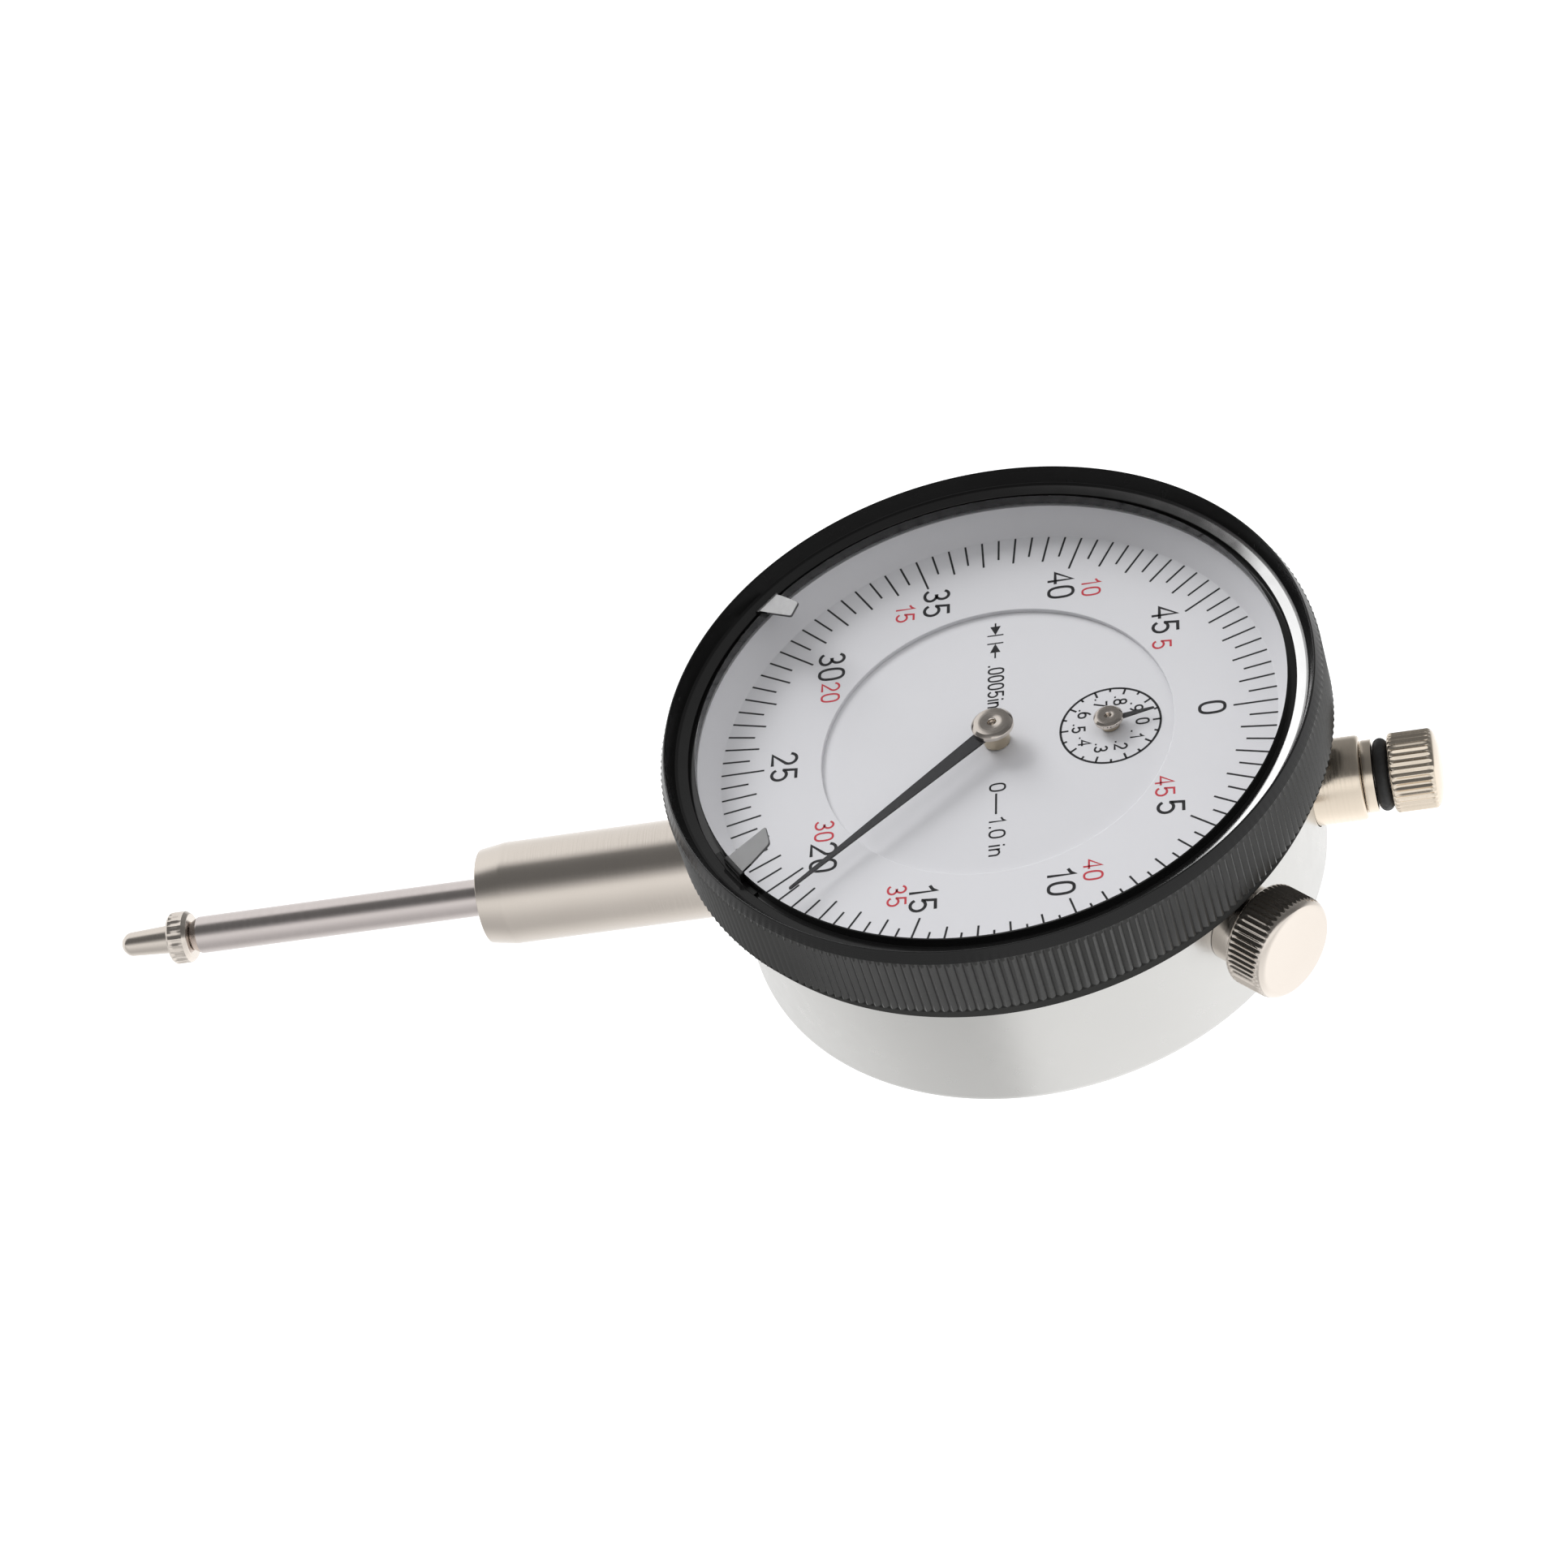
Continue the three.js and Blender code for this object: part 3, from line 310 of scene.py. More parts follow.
def softened(profile, closed):
    """The profile's points, with a curve for each corner that has a third number, its setback."""
    points = []
    count = len(profile)
    for i, corner in enumerate(profile):
        here = Vector(corner[:2])
        setback = corner[2] if len(corner) > 2 else 0
        if not setback or (not closed and i in (0, count - 1)):
            points.append(here)
            continue
        before = here + (Vector(profile[i - 1][:2]) - here).normalized() * setback
        after = here + (Vector(profile[(i + 1) % count][:2]) - here).normalized() * setback
        for step in range(CURVE_STEPS + 1):
            t = step / CURVE_STEPS
            points.append(before * (1 - t) ** 2 + here * 2 * t * (1 - t) + after * t * t)
    return points


def lathe(profile, segments=128, closed=False, ripple=None):
    """Vertices and faces of a turned solid. ripple(radius, height, turn) gives a new radius."""
    vertices, rings, faces = [], [], []
    for radius, height in softened(profile, closed):
        if radius < TINY:
            rings.append([len(vertices)] * segments)
            vertices.append((0, 0, height))
            continue
        rings.append(list(range(len(vertices), len(vertices) + segments)))
        for i in range(segments):
            r = ripple(radius, height, i / segments) if ripple else radius
            angle = 2 * math.pi * i / segments
            vertices.append((r * math.cos(angle), r * math.sin(angle), height))
    pairs = list(zip(rings, rings[1:] + rings[:1])) if closed else list(zip(rings, rings[1:]))
    for low, high in pairs:
        for i in range(segments):
            j = (i + 1) % segments
            corners = list(dict.fromkeys((low[i], low[j], high[j], high[i])))
            if len(corners) > 2:
                faces.append(corners)
    return vertices, faces


def prism(outline, low, high):
    """Vertices and faces of a flat shape with the given outline, from low to high."""
    count = len(outline)
    vertices = [(x, y, z) for z in (low, high) for x, y in outline]
    sides = [(i, (i + 1) % count, count + (i + 1) % count, count + i) for i in range(count)]
    return vertices, [list(range(count)), list(range(count, 2 * count)), *sides]


def gathered(parts):
    """Several (vertices, faces) as one."""
    vertices, faces = [], []
    for some_vertices, some_faces in parts:
        start = len(vertices)
        vertices.extend(some_vertices)
        faces.extend([[start + i for i in face] for face in some_faces])
    return vertices, faces


def moved(part, matrix):
    vertices, faces = part
    return [tuple(matrix @ Vector(v)) for v in vertices], faces


def cut(piece, *cutters, operation="DIFFERENCE"):
    """Cuts the cutters away from piece, or joins them to it, and removes them."""
    for cutter in cutters:
        modifier = piece.modifiers.new("cut", "BOOLEAN")
        modifier.object = cutter
        modifier.operation = operation
        modifier.solver = "EXACT"
    bpy.context.view_layer.update()
    evaluated = piece.evaluated_get(bpy.context.evaluated_depsgraph_get())
    shaped = bpy.data.meshes.new_from_object(evaluated)
    piece.modifiers.clear()
    piece.data = shaped
    smooth(shaped, CREASE)
    for cutter in cutters:
        bpy.data.objects.remove(cutter)


def add_bevel(piece, width, segments=3):
    modifier = piece.modifiers.new("edges", "BEVEL")
    modifier.width = width * MM
    modifier.segments = segments
    modifier.limit_method = "ANGLE"
    modifier.angle_limit = math.radians(BEVEL_ANGLE)
    modifier.harden_normals = True


def tool(part, place):
    """A plain solid that only cuts or is joined to another."""
    return add_piece("tool", *part, place, steel, "case", "steel")


# ---- case ----
# Each point of a turned profile is a radius and a height along the axis. A third number rounds
# its corner.
ROUND = 256  # how many sides the large turned shapes have
LUG_R, LUG_TOP = 7.4, 9.4
LUG_HALF_WIDTH, LUG_HOLE_R = 3.175, 3.175
SCREW_CIRCLE_R = 23.2
COVER_BEVEL = 0.25


def drill(place, radius, low, high, segments=64):
    """A cylinder that only cuts, round the Z axis of place."""
    return tool(lathe([(0, low), (radius, low), (radius, high), (0, high)], segments), place)


def build_case():
    wall = lathe(
        [
            (27, -18.27, 0.75), (27, -3.6), (26.5, -3.6), (26.5, -2.8), (27, -2.8), (27, -1.4),
            (25.3, -1.4), (25.3, -16.6), (22, -16.6), (22, -17.35), (24.45, -17.35),
            (24.45, -18.27, 0.1),
        ],
        ROUND,
        closed=True,
    )
    case = add_piece("case_shell", *wall, DIAL, case_paint, "case", "satin_case")
    stem_hole = drill(SPINDLE, 4.85, -30, -24)
    sleeve_hole = drill(SPINDLE, 3.94, 24, 30)
    clamp_hole = drill(CLAMP, 1.45, 24, 30, 32)
    cut(case, stem_hole, sleeve_hole, clamp_hole)
    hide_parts("case_cup")


def lug_outline(steps=40):
    """A half round whose straight sides run up into the cover."""
    turns = [math.pi + math.pi * i / steps for i in range(steps + 1)]
    curve = [(LUG_R * math.cos(a), LUG_R * math.sin(a)) for a in turns]
    return [(-LUG_R, LUG_TOP), *curve, (LUG_R, LUG_TOP)]


def build_back():
    """The cover and its lug are one casting. Four countersunk screws hold it."""
    disc = lathe([(0, -18.57), (24.2, -18.57, 0.45), (24.2, -17.45, 0.1), (0, -17.45)], ROUND)
    cover = add_piece("back_plate", *disc, DIAL, case_paint, "case", "satin_case")
    # the lug's own frame has its hole along Z, so it is turned to run along Y
    upright = Matrix.Rotation(QUARTER, 4, "X")
    lug = tool(prism(lug_outline(), -LUG_HALF_WIDTH, LUG_HALF_WIDTH), upright)
    cut(cover, lug, operation="UNION")
    hole = drill(upright, LUG_HOLE_R, -5, 5)
    seat = lathe([(0, -20), (1.0, -20), (1.0, -17.87), (0.85, -17.87), (0.85, -16), (0, -16)], 32)
    places = cover_screw_places()
    cut(cover, hole, *[tool(seat, place) for place in places])
    add_bevel(cover, COVER_BEVEL)
    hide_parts("back_cover")
    for index, place in enumerate(places, 1):
        build_cover_screw(index, place)


def cover_screw_places():
    turns = [math.radians(angle) for angle in (45, 135, 225, 315)]
    centres = [(SCREW_CIRCLE_R * math.cos(a), SCREW_CIRCLE_R * math.sin(a), 0) for a in turns]
    return [DIAL @ Matrix.Translation(centre) for centre in centres]


def build_cover_screw(index, place):
    head = [
        (0, -18.55), (0.93, -18.55, 0.12), (0.93, -17.95), (0.6, -17.95), (0.6, -16.3), (0, -16.3),
    ]
    screw = add_piece(f"cover_screw_{index}", *lathe(head, 40), place, steel, "case", "steel")
    slot = [(-2, -0.13), (2, -0.13), (2, 0.13), (-2, 0.13)]
    cut(screw, tool(prism(slot, -19, -18.3), place))
    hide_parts(f"back_screw_{index}")


def build_stem():
    profile = [
        (4.4, -50.9, 0.12), (4.7625, -48.5, 0.15), (4.7625, -25), (2.6, -25), (2.6, -50.9),
    ]
    tube = lathe(profile, 160, closed=True)
    stem = add_piece("stem_tube", *tube, SPINDLE, stem_nickel, "case", "nickel", crease=20)
    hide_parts("stem")
    ring = lathe([(2.4, -50.8), (2.4, -42.9), (1.85, -42.9), (1.85, -50.8)], 64, closed=True)
    bush = add_piece("stem_bush_ring", *ring, SPINDLE, brass, "case", "brass")
    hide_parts("stem_bush")
    tube = lathe([(1.85, 25), (3.85, 25), (3.85, 31.3, 0.5), (1.85, 31.3)], 128, closed=True)
    sleeve = add_piece("crown_sleeve", *tube, SPINDLE, sleeve_nickel, "case", "nickel")
    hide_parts("top_sleeve")
    profile = [(1.45, 25.95), (3.65, 25.95), (3.65, 29.05, 0.2), (1.45, 29.05)]
    ring = lathe(profile, 128, closed=True)
    collar = add_piece("clamp_collar_ring", *ring, CLAMP, knob_nickel, "case", "nickel")
    # its inner end follows the case wall
    cut(collar, drill(DIAL, 27.05, -18, -2, ROUND))
    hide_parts("clamp_collar")


# ---- bezel, dial and crystal ----
KNURL_LOW, KNURL_HIGH, KNURL_TEETH, KNURL_DEPTH = -2.1, 3.9, 240, 0.28
KNURL_R = 29.9  # only the bezel's outside, beyond this radius, is knurled
KNURL_MARGIN = 0.01
KNURL_STEPS = (0, 0.3, 1, 0.5)  # the depths of a tooth's steps, as shares of KNURL_DEPTH

# the bezel's finishes after its first one, and the radii and heights where they meet
BEZEL_FINISHES = [bezel_satin, bezel_lines, bezel_black, bezel_matt]
GLOSS, SATIN, LINED, PLAIN, MATT = range(5)
UNDERSIDE_R = 28.9
SIDE_R, SIDE_TOP = 29.3, KNURL_HIGH + 0.08
RIM_R = 29.42
LIP_FOOT = 3.6
LEDGE_R, LEDGE_END_R = 28.5, 28.75
LIP_INSIDE_R = 28.6

# the crystal's edge, painted dark: painted shade for the dark groove between the crystal and the
# bezel's lip
EDGE_R, EDGE_LOW = 26.8, 2.85


def knurl(radius, height, turn):
    """Straight flutes, with four uneven steps to a tooth."""
    low, high = KNURL_LOW - KNURL_MARGIN, KNURL_HIGH + KNURL_MARGIN
    if radius < KNURL_R or not low <= height <= high:
        return radius
    step = round(turn * KNURL_TEETH * len(KNURL_STEPS)) % len(KNURL_STEPS)
    return radius - KNURL_DEPTH * KNURL_STEPS[step]


def bezel_finish(radius, height):
    """The number of the finish that a face of the bezel has."""
    if radius > UNDERSIDE_R and height < KNURL_LOW:
        return MATT
    if radius > SIDE_R and height < SIDE_TOP:
        return SATIN
    if radius > RIM_R or (LEDGE_R < radius < LEDGE_END_R and height > LIP_FOOT):
        return LINED
    if radius > LIP_INSIDE_R and height > LIP_FOOT:
        return PLAIN
    return GLOSS


def build_bezel():
    ring = lathe(
        [
            (29.0, -4.08, 0.12), (29.4, -3.35), (29.9, -2.3, 0.1), (30.1, -2.0), (30.1, 3.8),
            (29.93, 4.1), (29.5, 5.2, 0.1), (29.36, 5.2, 0.12), (28.74, 3.82, 0.04),
            (28.5, 3.7, 0.05), (27.6, 3.47, 0.08), (27.6, 3.3), (28.25, 3.3), (28.25, 2.65),
            (27.6, 2.65), (27.6, -1.0), (27.3, -1.0), (27.3, -2.8), (27.9, -2.8), (27.9, -3.6),
            (27.3, -3.6), (27.3, -4.08),
        ],
        KNURL_TEETH * len(KNURL_STEPS),
        closed=True,
        ripple=knurl,
    )
    bezel = add_piece(
        "bezel_knurled_ring", *ring, DIAL, bezel_gloss, "bezel", "black_bezel", crease=24
    )
    paint_faces(bezel, BEZEL_FINISHES, bezel_finish)
    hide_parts("bezel_ring")


def build_crystal():
    disc = lathe(
        [
            (0, 2.7), (28.0, 2.7, 0.05), (28.0, 2.92, 0.05), (26.95, 2.92), (26.95, 3.88),
            (26.87, 3.96), (26.6, 3.96), (0, 3.96),
        ],
        ROUND,
    )
    crystal = add_piece("crystal_lens", *disc, DIAL, crystal_clear, "bezel", "clear_crystal")
    # painted shade: the clear crystal's outer wall, and the flange top outside it, are painted
    # opaque dark
    paint_faces(crystal, [crystal_edge_shade], lambda r, height: r > EDGE_R and height > EDGE_LOW)
    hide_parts("crystal")


def build_dial():
    ring = lathe(
        [
            (STEP_R, -0.38), (16.6, -0.38), (16.7, -0.3), (26.6, -0.3), (26.6, -0.9),
            (27.45, -0.9), (27.45, RIM_HEIGHT), (27.0, RIM_HEIGHT), (SCALE_R, 0, 0.12),
            (STEP_R, 0, 0.1),
        ],
        ROUND,
        closed=True,
    )
    dial = add_piece("graduated_ring", *ring, DIAL, dial_white, "bezel", "dial_white")
    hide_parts("dial_ring")
    disc = lathe([(0, -1.1), (17, -1.1), (17, CENTRE_FACE), (0, CENTRE_FACE)], ROUND)
    middle = add_piece("middle_disc", *disc, DIAL, dial_white, "case", "dial_white")
    cut(middle, drill(DIAL, 0.95, -2, 0, 48), drill(COUNTER, 0.8, -2, 0, 48))
    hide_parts("centre_dial")


# ---- print ----
# Print is laid on as thin solids. Figures are strokes in a box one unit high, with up along
# the dial's +X, so the baseline runs towards -Y.
INK = 0.012  # how far print reaches above and below the face it is on
SHARPEST_BEND, LONGEST_MITRE = 0.3, 1.6
USUAL_ADVANCE, LETTER_GAP = 0.76, 0.14
ADVANCE = {".": 0.3, "-": 1.66, "i": 0.3, "n": 0.64, " ": 0.3, "1": 0.68}


def arc(x, y, rx, ry, start, end, steps=16):
    turns = [math.radians(start + (end - start) * i / steps) for i in range(steps + 1)]
    return [(x + rx * math.cos(a), y + ry * math.sin(a)) for a in turns]


def oval(x, y, rx, ry, squareness=2.3, steps=40):
    """A closed oval whose sides are a little straighter than an ellipse's."""
    points = []
    for i in range(steps + 1):
        c, s = math.cos(2 * math.pi * i / steps), math.sin(2 * math.pi * i / steps)
        px = math.copysign(abs(c) ** (2 / squareness), c)
        py = math.copysign(abs(s) ** (2 / squareness), s)
        points.append((x + rx * px, y + ry * py))
    return points


def figure_strokes(character):
    six = [oval(0.31, 0.31, 0.26, 0.27), arc(0.47, 0.35, 0.42, 0.61, 185, 105, 12)]
    strokes = {
        "0": [oval(0.31, 0.5, 0.26, 0.455, 2.6)],
        "1": [[(0.12, 0.74), (0.3, 0.84), (0.38, 0.99), (0.38, 0.0)]],
        "2": [arc(0.3, 0.69, 0.25, 0.26, 170, -32) + [(0.05, 0.05), (0.59, 0.05)]],
        "3": [arc(0.29, 0.72, 0.22, 0.235, 160, -90) + arc(0.29, 0.27, 0.265, 0.225, 90, -160)],
        "4": [[(0.45, 0.0), (0.45, 0.93), (0.04, 0.29), (0.62, 0.29)]],
        "5": [[(0.55, 0.95), (0.13, 0.95), (0.08, 0.5)] + arc(0.3, 0.32, 0.26, 0.275, 140, -155)],
        "6": six,
        "7": [[(0.04, 0.95), (0.57, 0.95), (0.22, 0.0)]],
        "8": [oval(0.31, 0.73, 0.215, 0.225), oval(0.31, 0.275, 0.26, 0.23)],
        "9": [[(0.62 - x, 1 - y) for x, y in stroke] for stroke in six],
        ".": [[(0.1, 0.0), (0.1, 0.13)]],
        "-": [[(0.0, 0.42), (1.5, 0.42)]],
        "i": [[(0.1, 0.0), (0.1, 0.68)], [(0.1, 0.85), (0.1, 0.98)]],
        "n": [[(0.06, 0.0), (0.06, 0.68)], arc(0.27, 0.42, 0.21, 0.22, 180, 0, 12) + [(0.48, 0.0)]],
        " ": [],
    }
    return strokes[character]


def ribbon(points, width):
    """The two sides of a stroke along points, with mitred corners, and whether it is closed."""
    closed = (Vector(points[0]) - Vector(points[-1])).length < TINY
    if closed:
        points = points[:-1]
    count = len(points)
    left, right = [], []
    for i, point in enumerate(points):
        here = Vector(point)
        before = Vector(points[i - 1]) if closed or i else None
        after = Vector(points[(i + 1) % count]) if closed or i < count - 1 else None
        into = (here - before).normalized() if before is not None else None
        out = (after - here).normalized() if after is not None else None
        into, out = into or out, out or into
        along = (into + out).normalized()
        reach = min(LONGEST_MITRE, 1 / max(SHARPEST_BEND, along.dot(into)))
        side = Vector((-along.y, along.x)) * width / 2 * reach
        left.append(tuple(here + side))
        right.append(tuple(here - side))
    return left, right, closed


def stroke_solid(points, width, level=0.0):
    """A stroke of print on a face at the given height."""
    left, right, closed = ribbon(points, width)
    count = len(left)
    heights = (level - INK, level + INK)
    vertices = [(*point, z) for z in heights for side in (left, right) for point in side]
    faces = []
    for i in range(count if closed else count - 1):
        j = (i + 1) % count
        a, b, c, d = i, j, count + j, count + i
        top = 2 * count
        faces += [(a, b, c, d), (top + a, top + b, top + c, top + d)]
        faces += [(a, b, top + b, top + a), (d, c, top + c, top + d)]
    if not closed:
        for i in (0, count - 1):
            faces.append((i, count + i, 3 * count + i, 2 * count + i))
    return vertices, faces


def lettering(text, x, y, height, pen, squeeze=1.0, level=0.0):
    """text with its middle at (x, y) on the dial, reading towards -Y with its tops towards +X."""
    widths = [ADVANCE.get(character, USUAL_ADVANCE) for character in text]
    cursor = -(sum(widths) - LETTER_GAP) / 2
    parts = []
    for character, width in zip(text, widths):
        for stroke in figure_strokes(character):
            points = [
                (x + (v - 0.5) * height, y - (cursor + u) * height * squeeze) for u, v in stroke
            ]
            parts.append(stroke_solid(points, pen, level))
        cursor += width
    return parts


def spot(turn, radius):
    """A point of the dial, turn being a share of a full turn clockwise from +X."""
    angle = -2 * math.pi * turn
    return radius * math.cos(angle), radius * math.sin(angle)


# the middles of the figures, clockwise for the black and anticlockwise for the red
BLACK_FIGURES = [
    (19.53, 0.09), (15.62, -11.25), (5.88, -18.23), (-6.39, -18.06), (-15.54, -11.68),
    (-19.57, 0.09), (-15.54, 12.01), (-5.8, 18.36), (5.88, 18.4), (15.5, 11.97),
]
RED_FIGURES = [(15.14, 8.85), (8.7, 17.58), (-8.75, 17.62), (-15.56, 8.71)]
RED_Y_SUM = 0.2  # of a red figure and its partner on the dial's other side
BLACK_HEIGHT, BLACK_PEN = 2.5, 0.29
RED_HEIGHT, RED_PEN = 1.78, 0.2
TICK_PEN = 0.19
TEN_TICK, EVEN_TICK, ODD_TICK = 21.42, 22.18, 22.87  # the radii where ticks begin
TICK_END = SCALE_R - 0.06


def tick_start(index):
    if index % 10 == 0:
        return TEN_TICK
    return ODD_TICK if index % 2 else EVEN_TICK


def build_scale():
    marks = []
    for i in range(100):
        line = [spot(i / 100, tick_start(i)), spot(i / 100, TICK_END)]
        marks.append(stroke_solid(line, TICK_PEN))
    for i, (x, y) in enumerate(BLACK_FIGURES):
        marks += lettering(str(5 * i), x, y, BLACK_HEIGHT, BLACK_PEN)
    add_piece("print_black", *gathered(marks), DIAL, ink_black, "bezel", "dial_white")
    red = []
    for i, (x, y) in enumerate(RED_FIGURES, 1):
        red += lettering(str(5 * i), x, y, RED_HEIGHT, RED_PEN)
        red += lettering(str(50 - 5 * i), x, RED_Y_SUM - y, RED_HEIGHT, RED_PEN)
    add_piece("print_red", *gathered(red), DIAL, ink_red, "bezel", "dial_white")


TEXT_HEIGHT, TEXT_PEN = 1.5, 0.18
ARROW_X = -0.3
ARROW_HEAD, ARROW_HALF_WIDTH, ARROW_TIP_GAP, ARROW_PEN = 1.15, 1.15 * 0.42, 0.06, 0.15
BAR_HALF, BAR_PEN = 0.75, 0.14
COUNTER_RING_R, COUNTER_RING_PEN = 4.54, 0.21
COUNTER_EVEN_TICK, COUNTER_ODD_TICK = 3.82, 4.15
COUNTER_FIGURE_R, COUNTER_HEIGHT, COUNTER_PEN = 2.9, 1.22, 0.18
DOT_X, DOT_Y, DOT_LENGTH = -0.53, 0.64, 0.15  # the dot before a figure, from the figure's middle


def arrow(start, end):
    """A line from start towards end with a filled head, and a bar where it ends, along Y."""
    way = 1 if end > start else -1
    head = end - way * ARROW_HEAD
    outline = [
        (ARROW_X, end - way * ARROW_TIP_GAP),
        (ARROW_X + ARROW_HALF_WIDTH, head),
        (ARROW_X - ARROW_HALF_WIDTH, head),
    ]
    bar = [(ARROW_X - BAR_HALF, end), (ARROW_X + BAR_HALF, end)]
    return [
        prism(outline, CENTRE_FACE - INK, CENTRE_FACE + INK),
        stroke_solid([(ARROW_X, start), (ARROW_X, head)], ARROW_PEN, CENTRE_FACE),
        stroke_solid(bar, BAR_PEN, CENTRE_FACE),
    ]


def counter_marks():
    ring = arc(COUNTER_X, 0, COUNTER_RING_R, COUNTER_RING_R, 0, 360, 96)
    marks = [stroke_solid(ring, COUNTER_RING_PEN, CENTRE_FACE)]
    for i in range(20):
        start = COUNTER_ODD_TICK if i % 2 else COUNTER_EVEN_TICK
        line = [spot(i / 20, start), spot(i / 20, COUNTER_RING_R)]
        line = [(COUNTER_X + x, y) for x, y in line]
        marks.append(stroke_solid(line, TICK_PEN, CENTRE_FACE))
    for i in range(10):
        x, y = spot(i / 10, COUNTER_FIGURE_R)
        x += COUNTER_X
        marks += lettering(str(i), x, y, COUNTER_HEIGHT, COUNTER_PEN, 0.95, CENTRE_FACE)
        if i:
            dot = [(x + DOT_X, y + DOT_Y), (x + DOT_X + DOT_LENGTH, y + DOT_Y)]
            marks.append(stroke_solid(dot, COUNTER_PEN, CENTRE_FACE))
    return marks


def build_middle_print():
    marks = arrow(15.0, 13.42) + arrow(10.51, 12.39)
    marks += lettering(".0005in", -0.2, 6.95, TEXT_HEIGHT, TEXT_PEN, 0.86, CENTRE_FACE)
    marks += lettering("0-1.0 in", 0.06, -9.51, TEXT_HEIGHT, TEXT_PEN, 1.1, CENTRE_FACE)
    marks += counter_marks()
    add_piece("print_middle", *gathered(marks), DIAL, ink_black, "case", "dial_white")


# ---- hands ----
HAND_BEVEL = 0.03
BLUNTNESS = 0.4  # how wide the flat end of a hand is, as a share of the width before it
NECK_TOP, COUNTER_NECK_TOP = 1.5, 0.45


def hand_outline(eye, length, root, tip, steps=36):
    """A round eye of radius eye, tapering from half width root to half width tip."""
    shoulder = math.asin(root / eye)
    turns = [shoulder + (2 * math.pi - 2 * shoulder) * i / steps for i in range(steps + 1)]
    round_eye = [(eye * math.cos(a), eye * math.sin(a)) for a in turns]
    blunt = tip * BLUNTNESS
    point = [(length - tip, -tip), (length, -blunt), (length, blunt), (length - tip, tip)]
    return [*round_eye, *point]


def build_hand(name, node, place, body, reading, size, low, high):
    outline = hand_outline(*size)
    there = place @ Matrix.Rotation(-2 * math.pi * reading, 4, "Z")
    piece = add_piece(name, *prism(outline, low, high), there, hand_paint, body, "hand_grey")
    add_bevel(piece, HAND_BEVEL, 2)
    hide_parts(node)


def tint_neck(hub, top):
    """The neck under a hub's head is bare brass."""
    paint_faces(hub, [neck_brass], lambda radius, height: height < top)


def build_hands():
    size = (1.35, 24.3, 0.75, 0.13)
    build_hand("pointer", "main_hand", DIAL, "centre_arbor", MAIN_READING, size, 1.3, 1.5)
    size = (0.85, 4.16, 0.32, 0.1)
    build_hand(
        "counter_pointer", "counter_hand", COUNTER, "counter", COUNTER_READING, size, 0.26, 0.42
    )
    hub = lathe(
        [
            (0, 1.62), (0.52, 1.62), (0.52, -0.3), (1.24, -0.3, 0.05), (1.24, 1.2, 0.05),
            (0.8, 1.2), (0.8, 1.56), (1.92, 1.56, 0.05), (1.92, 1.95, 0.06), (1.63, 2.2, 0.06),
            (0.45, 2.2, 0.04), (0.39, 2.12), (0.39, 1.75), (0, 1.7),
        ],
        96,
    )
    piece = add_piece("pointer_hub", *hub, DIAL, hub_nickel, "centre_arbor", "nickel", crease=8)
    tint_neck(piece, NECK_TOP)
    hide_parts("main_hub")
    hub = lathe(
        [
            (0, 0.62), (0.38, 0.62), (0.38, -0.3), (0.88, -0.3, 0.04), (0.88, 0.2, 0.04),
            (0.5, 0.2), (0.5, 0.46), (1.33, 0.46, 0.04), (1.33, 0.82, 0.05), (1.09, 1.0, 0.05),
            (0.36, 1.0, 0.03), (0.31, 0.94), (0.31, 0.7), (0, 0.68),
        ],
        80,
    )
    piece = add_piece(
        "counter_pointer_hub", *hub, COUNTER, counter_nickel, "counter", "nickel", crease=8
    )
    tint_neck(piece, COUNTER_NECK_TOP)
    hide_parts("counter_hub")


# ---- plunger ----
FLUTE_POWER = 0.6  # below 1 it makes the flutes wide and the ribs between them narrow
POINT_FLUTES, CAP_FLUTES, KNOB_FLUTES = 24, 36, 56


def evenly(radius, start, length, steps):
    """Points up a straight side, close enough together for its flutes to fade at their ends."""
    return [(radius, start + length * i / steps) for i in range(steps + 1)]


def flutes(teeth, depth, low, high, outer, run):
    """A ripple with rounded flutes between two heights, shallow at their ends."""

    def ripple(radius, height, turn):
        if radius < outer or not low <= height <= high:
            return radius
        fade = min(1, (height - low) / run, (high - height) / run)
        groove = (0.5 - 0.5 * math.cos(2 * math.pi * turn * teeth)) ** FLUTE_POWER
        return radius - depth * fade * groove

    return ripple


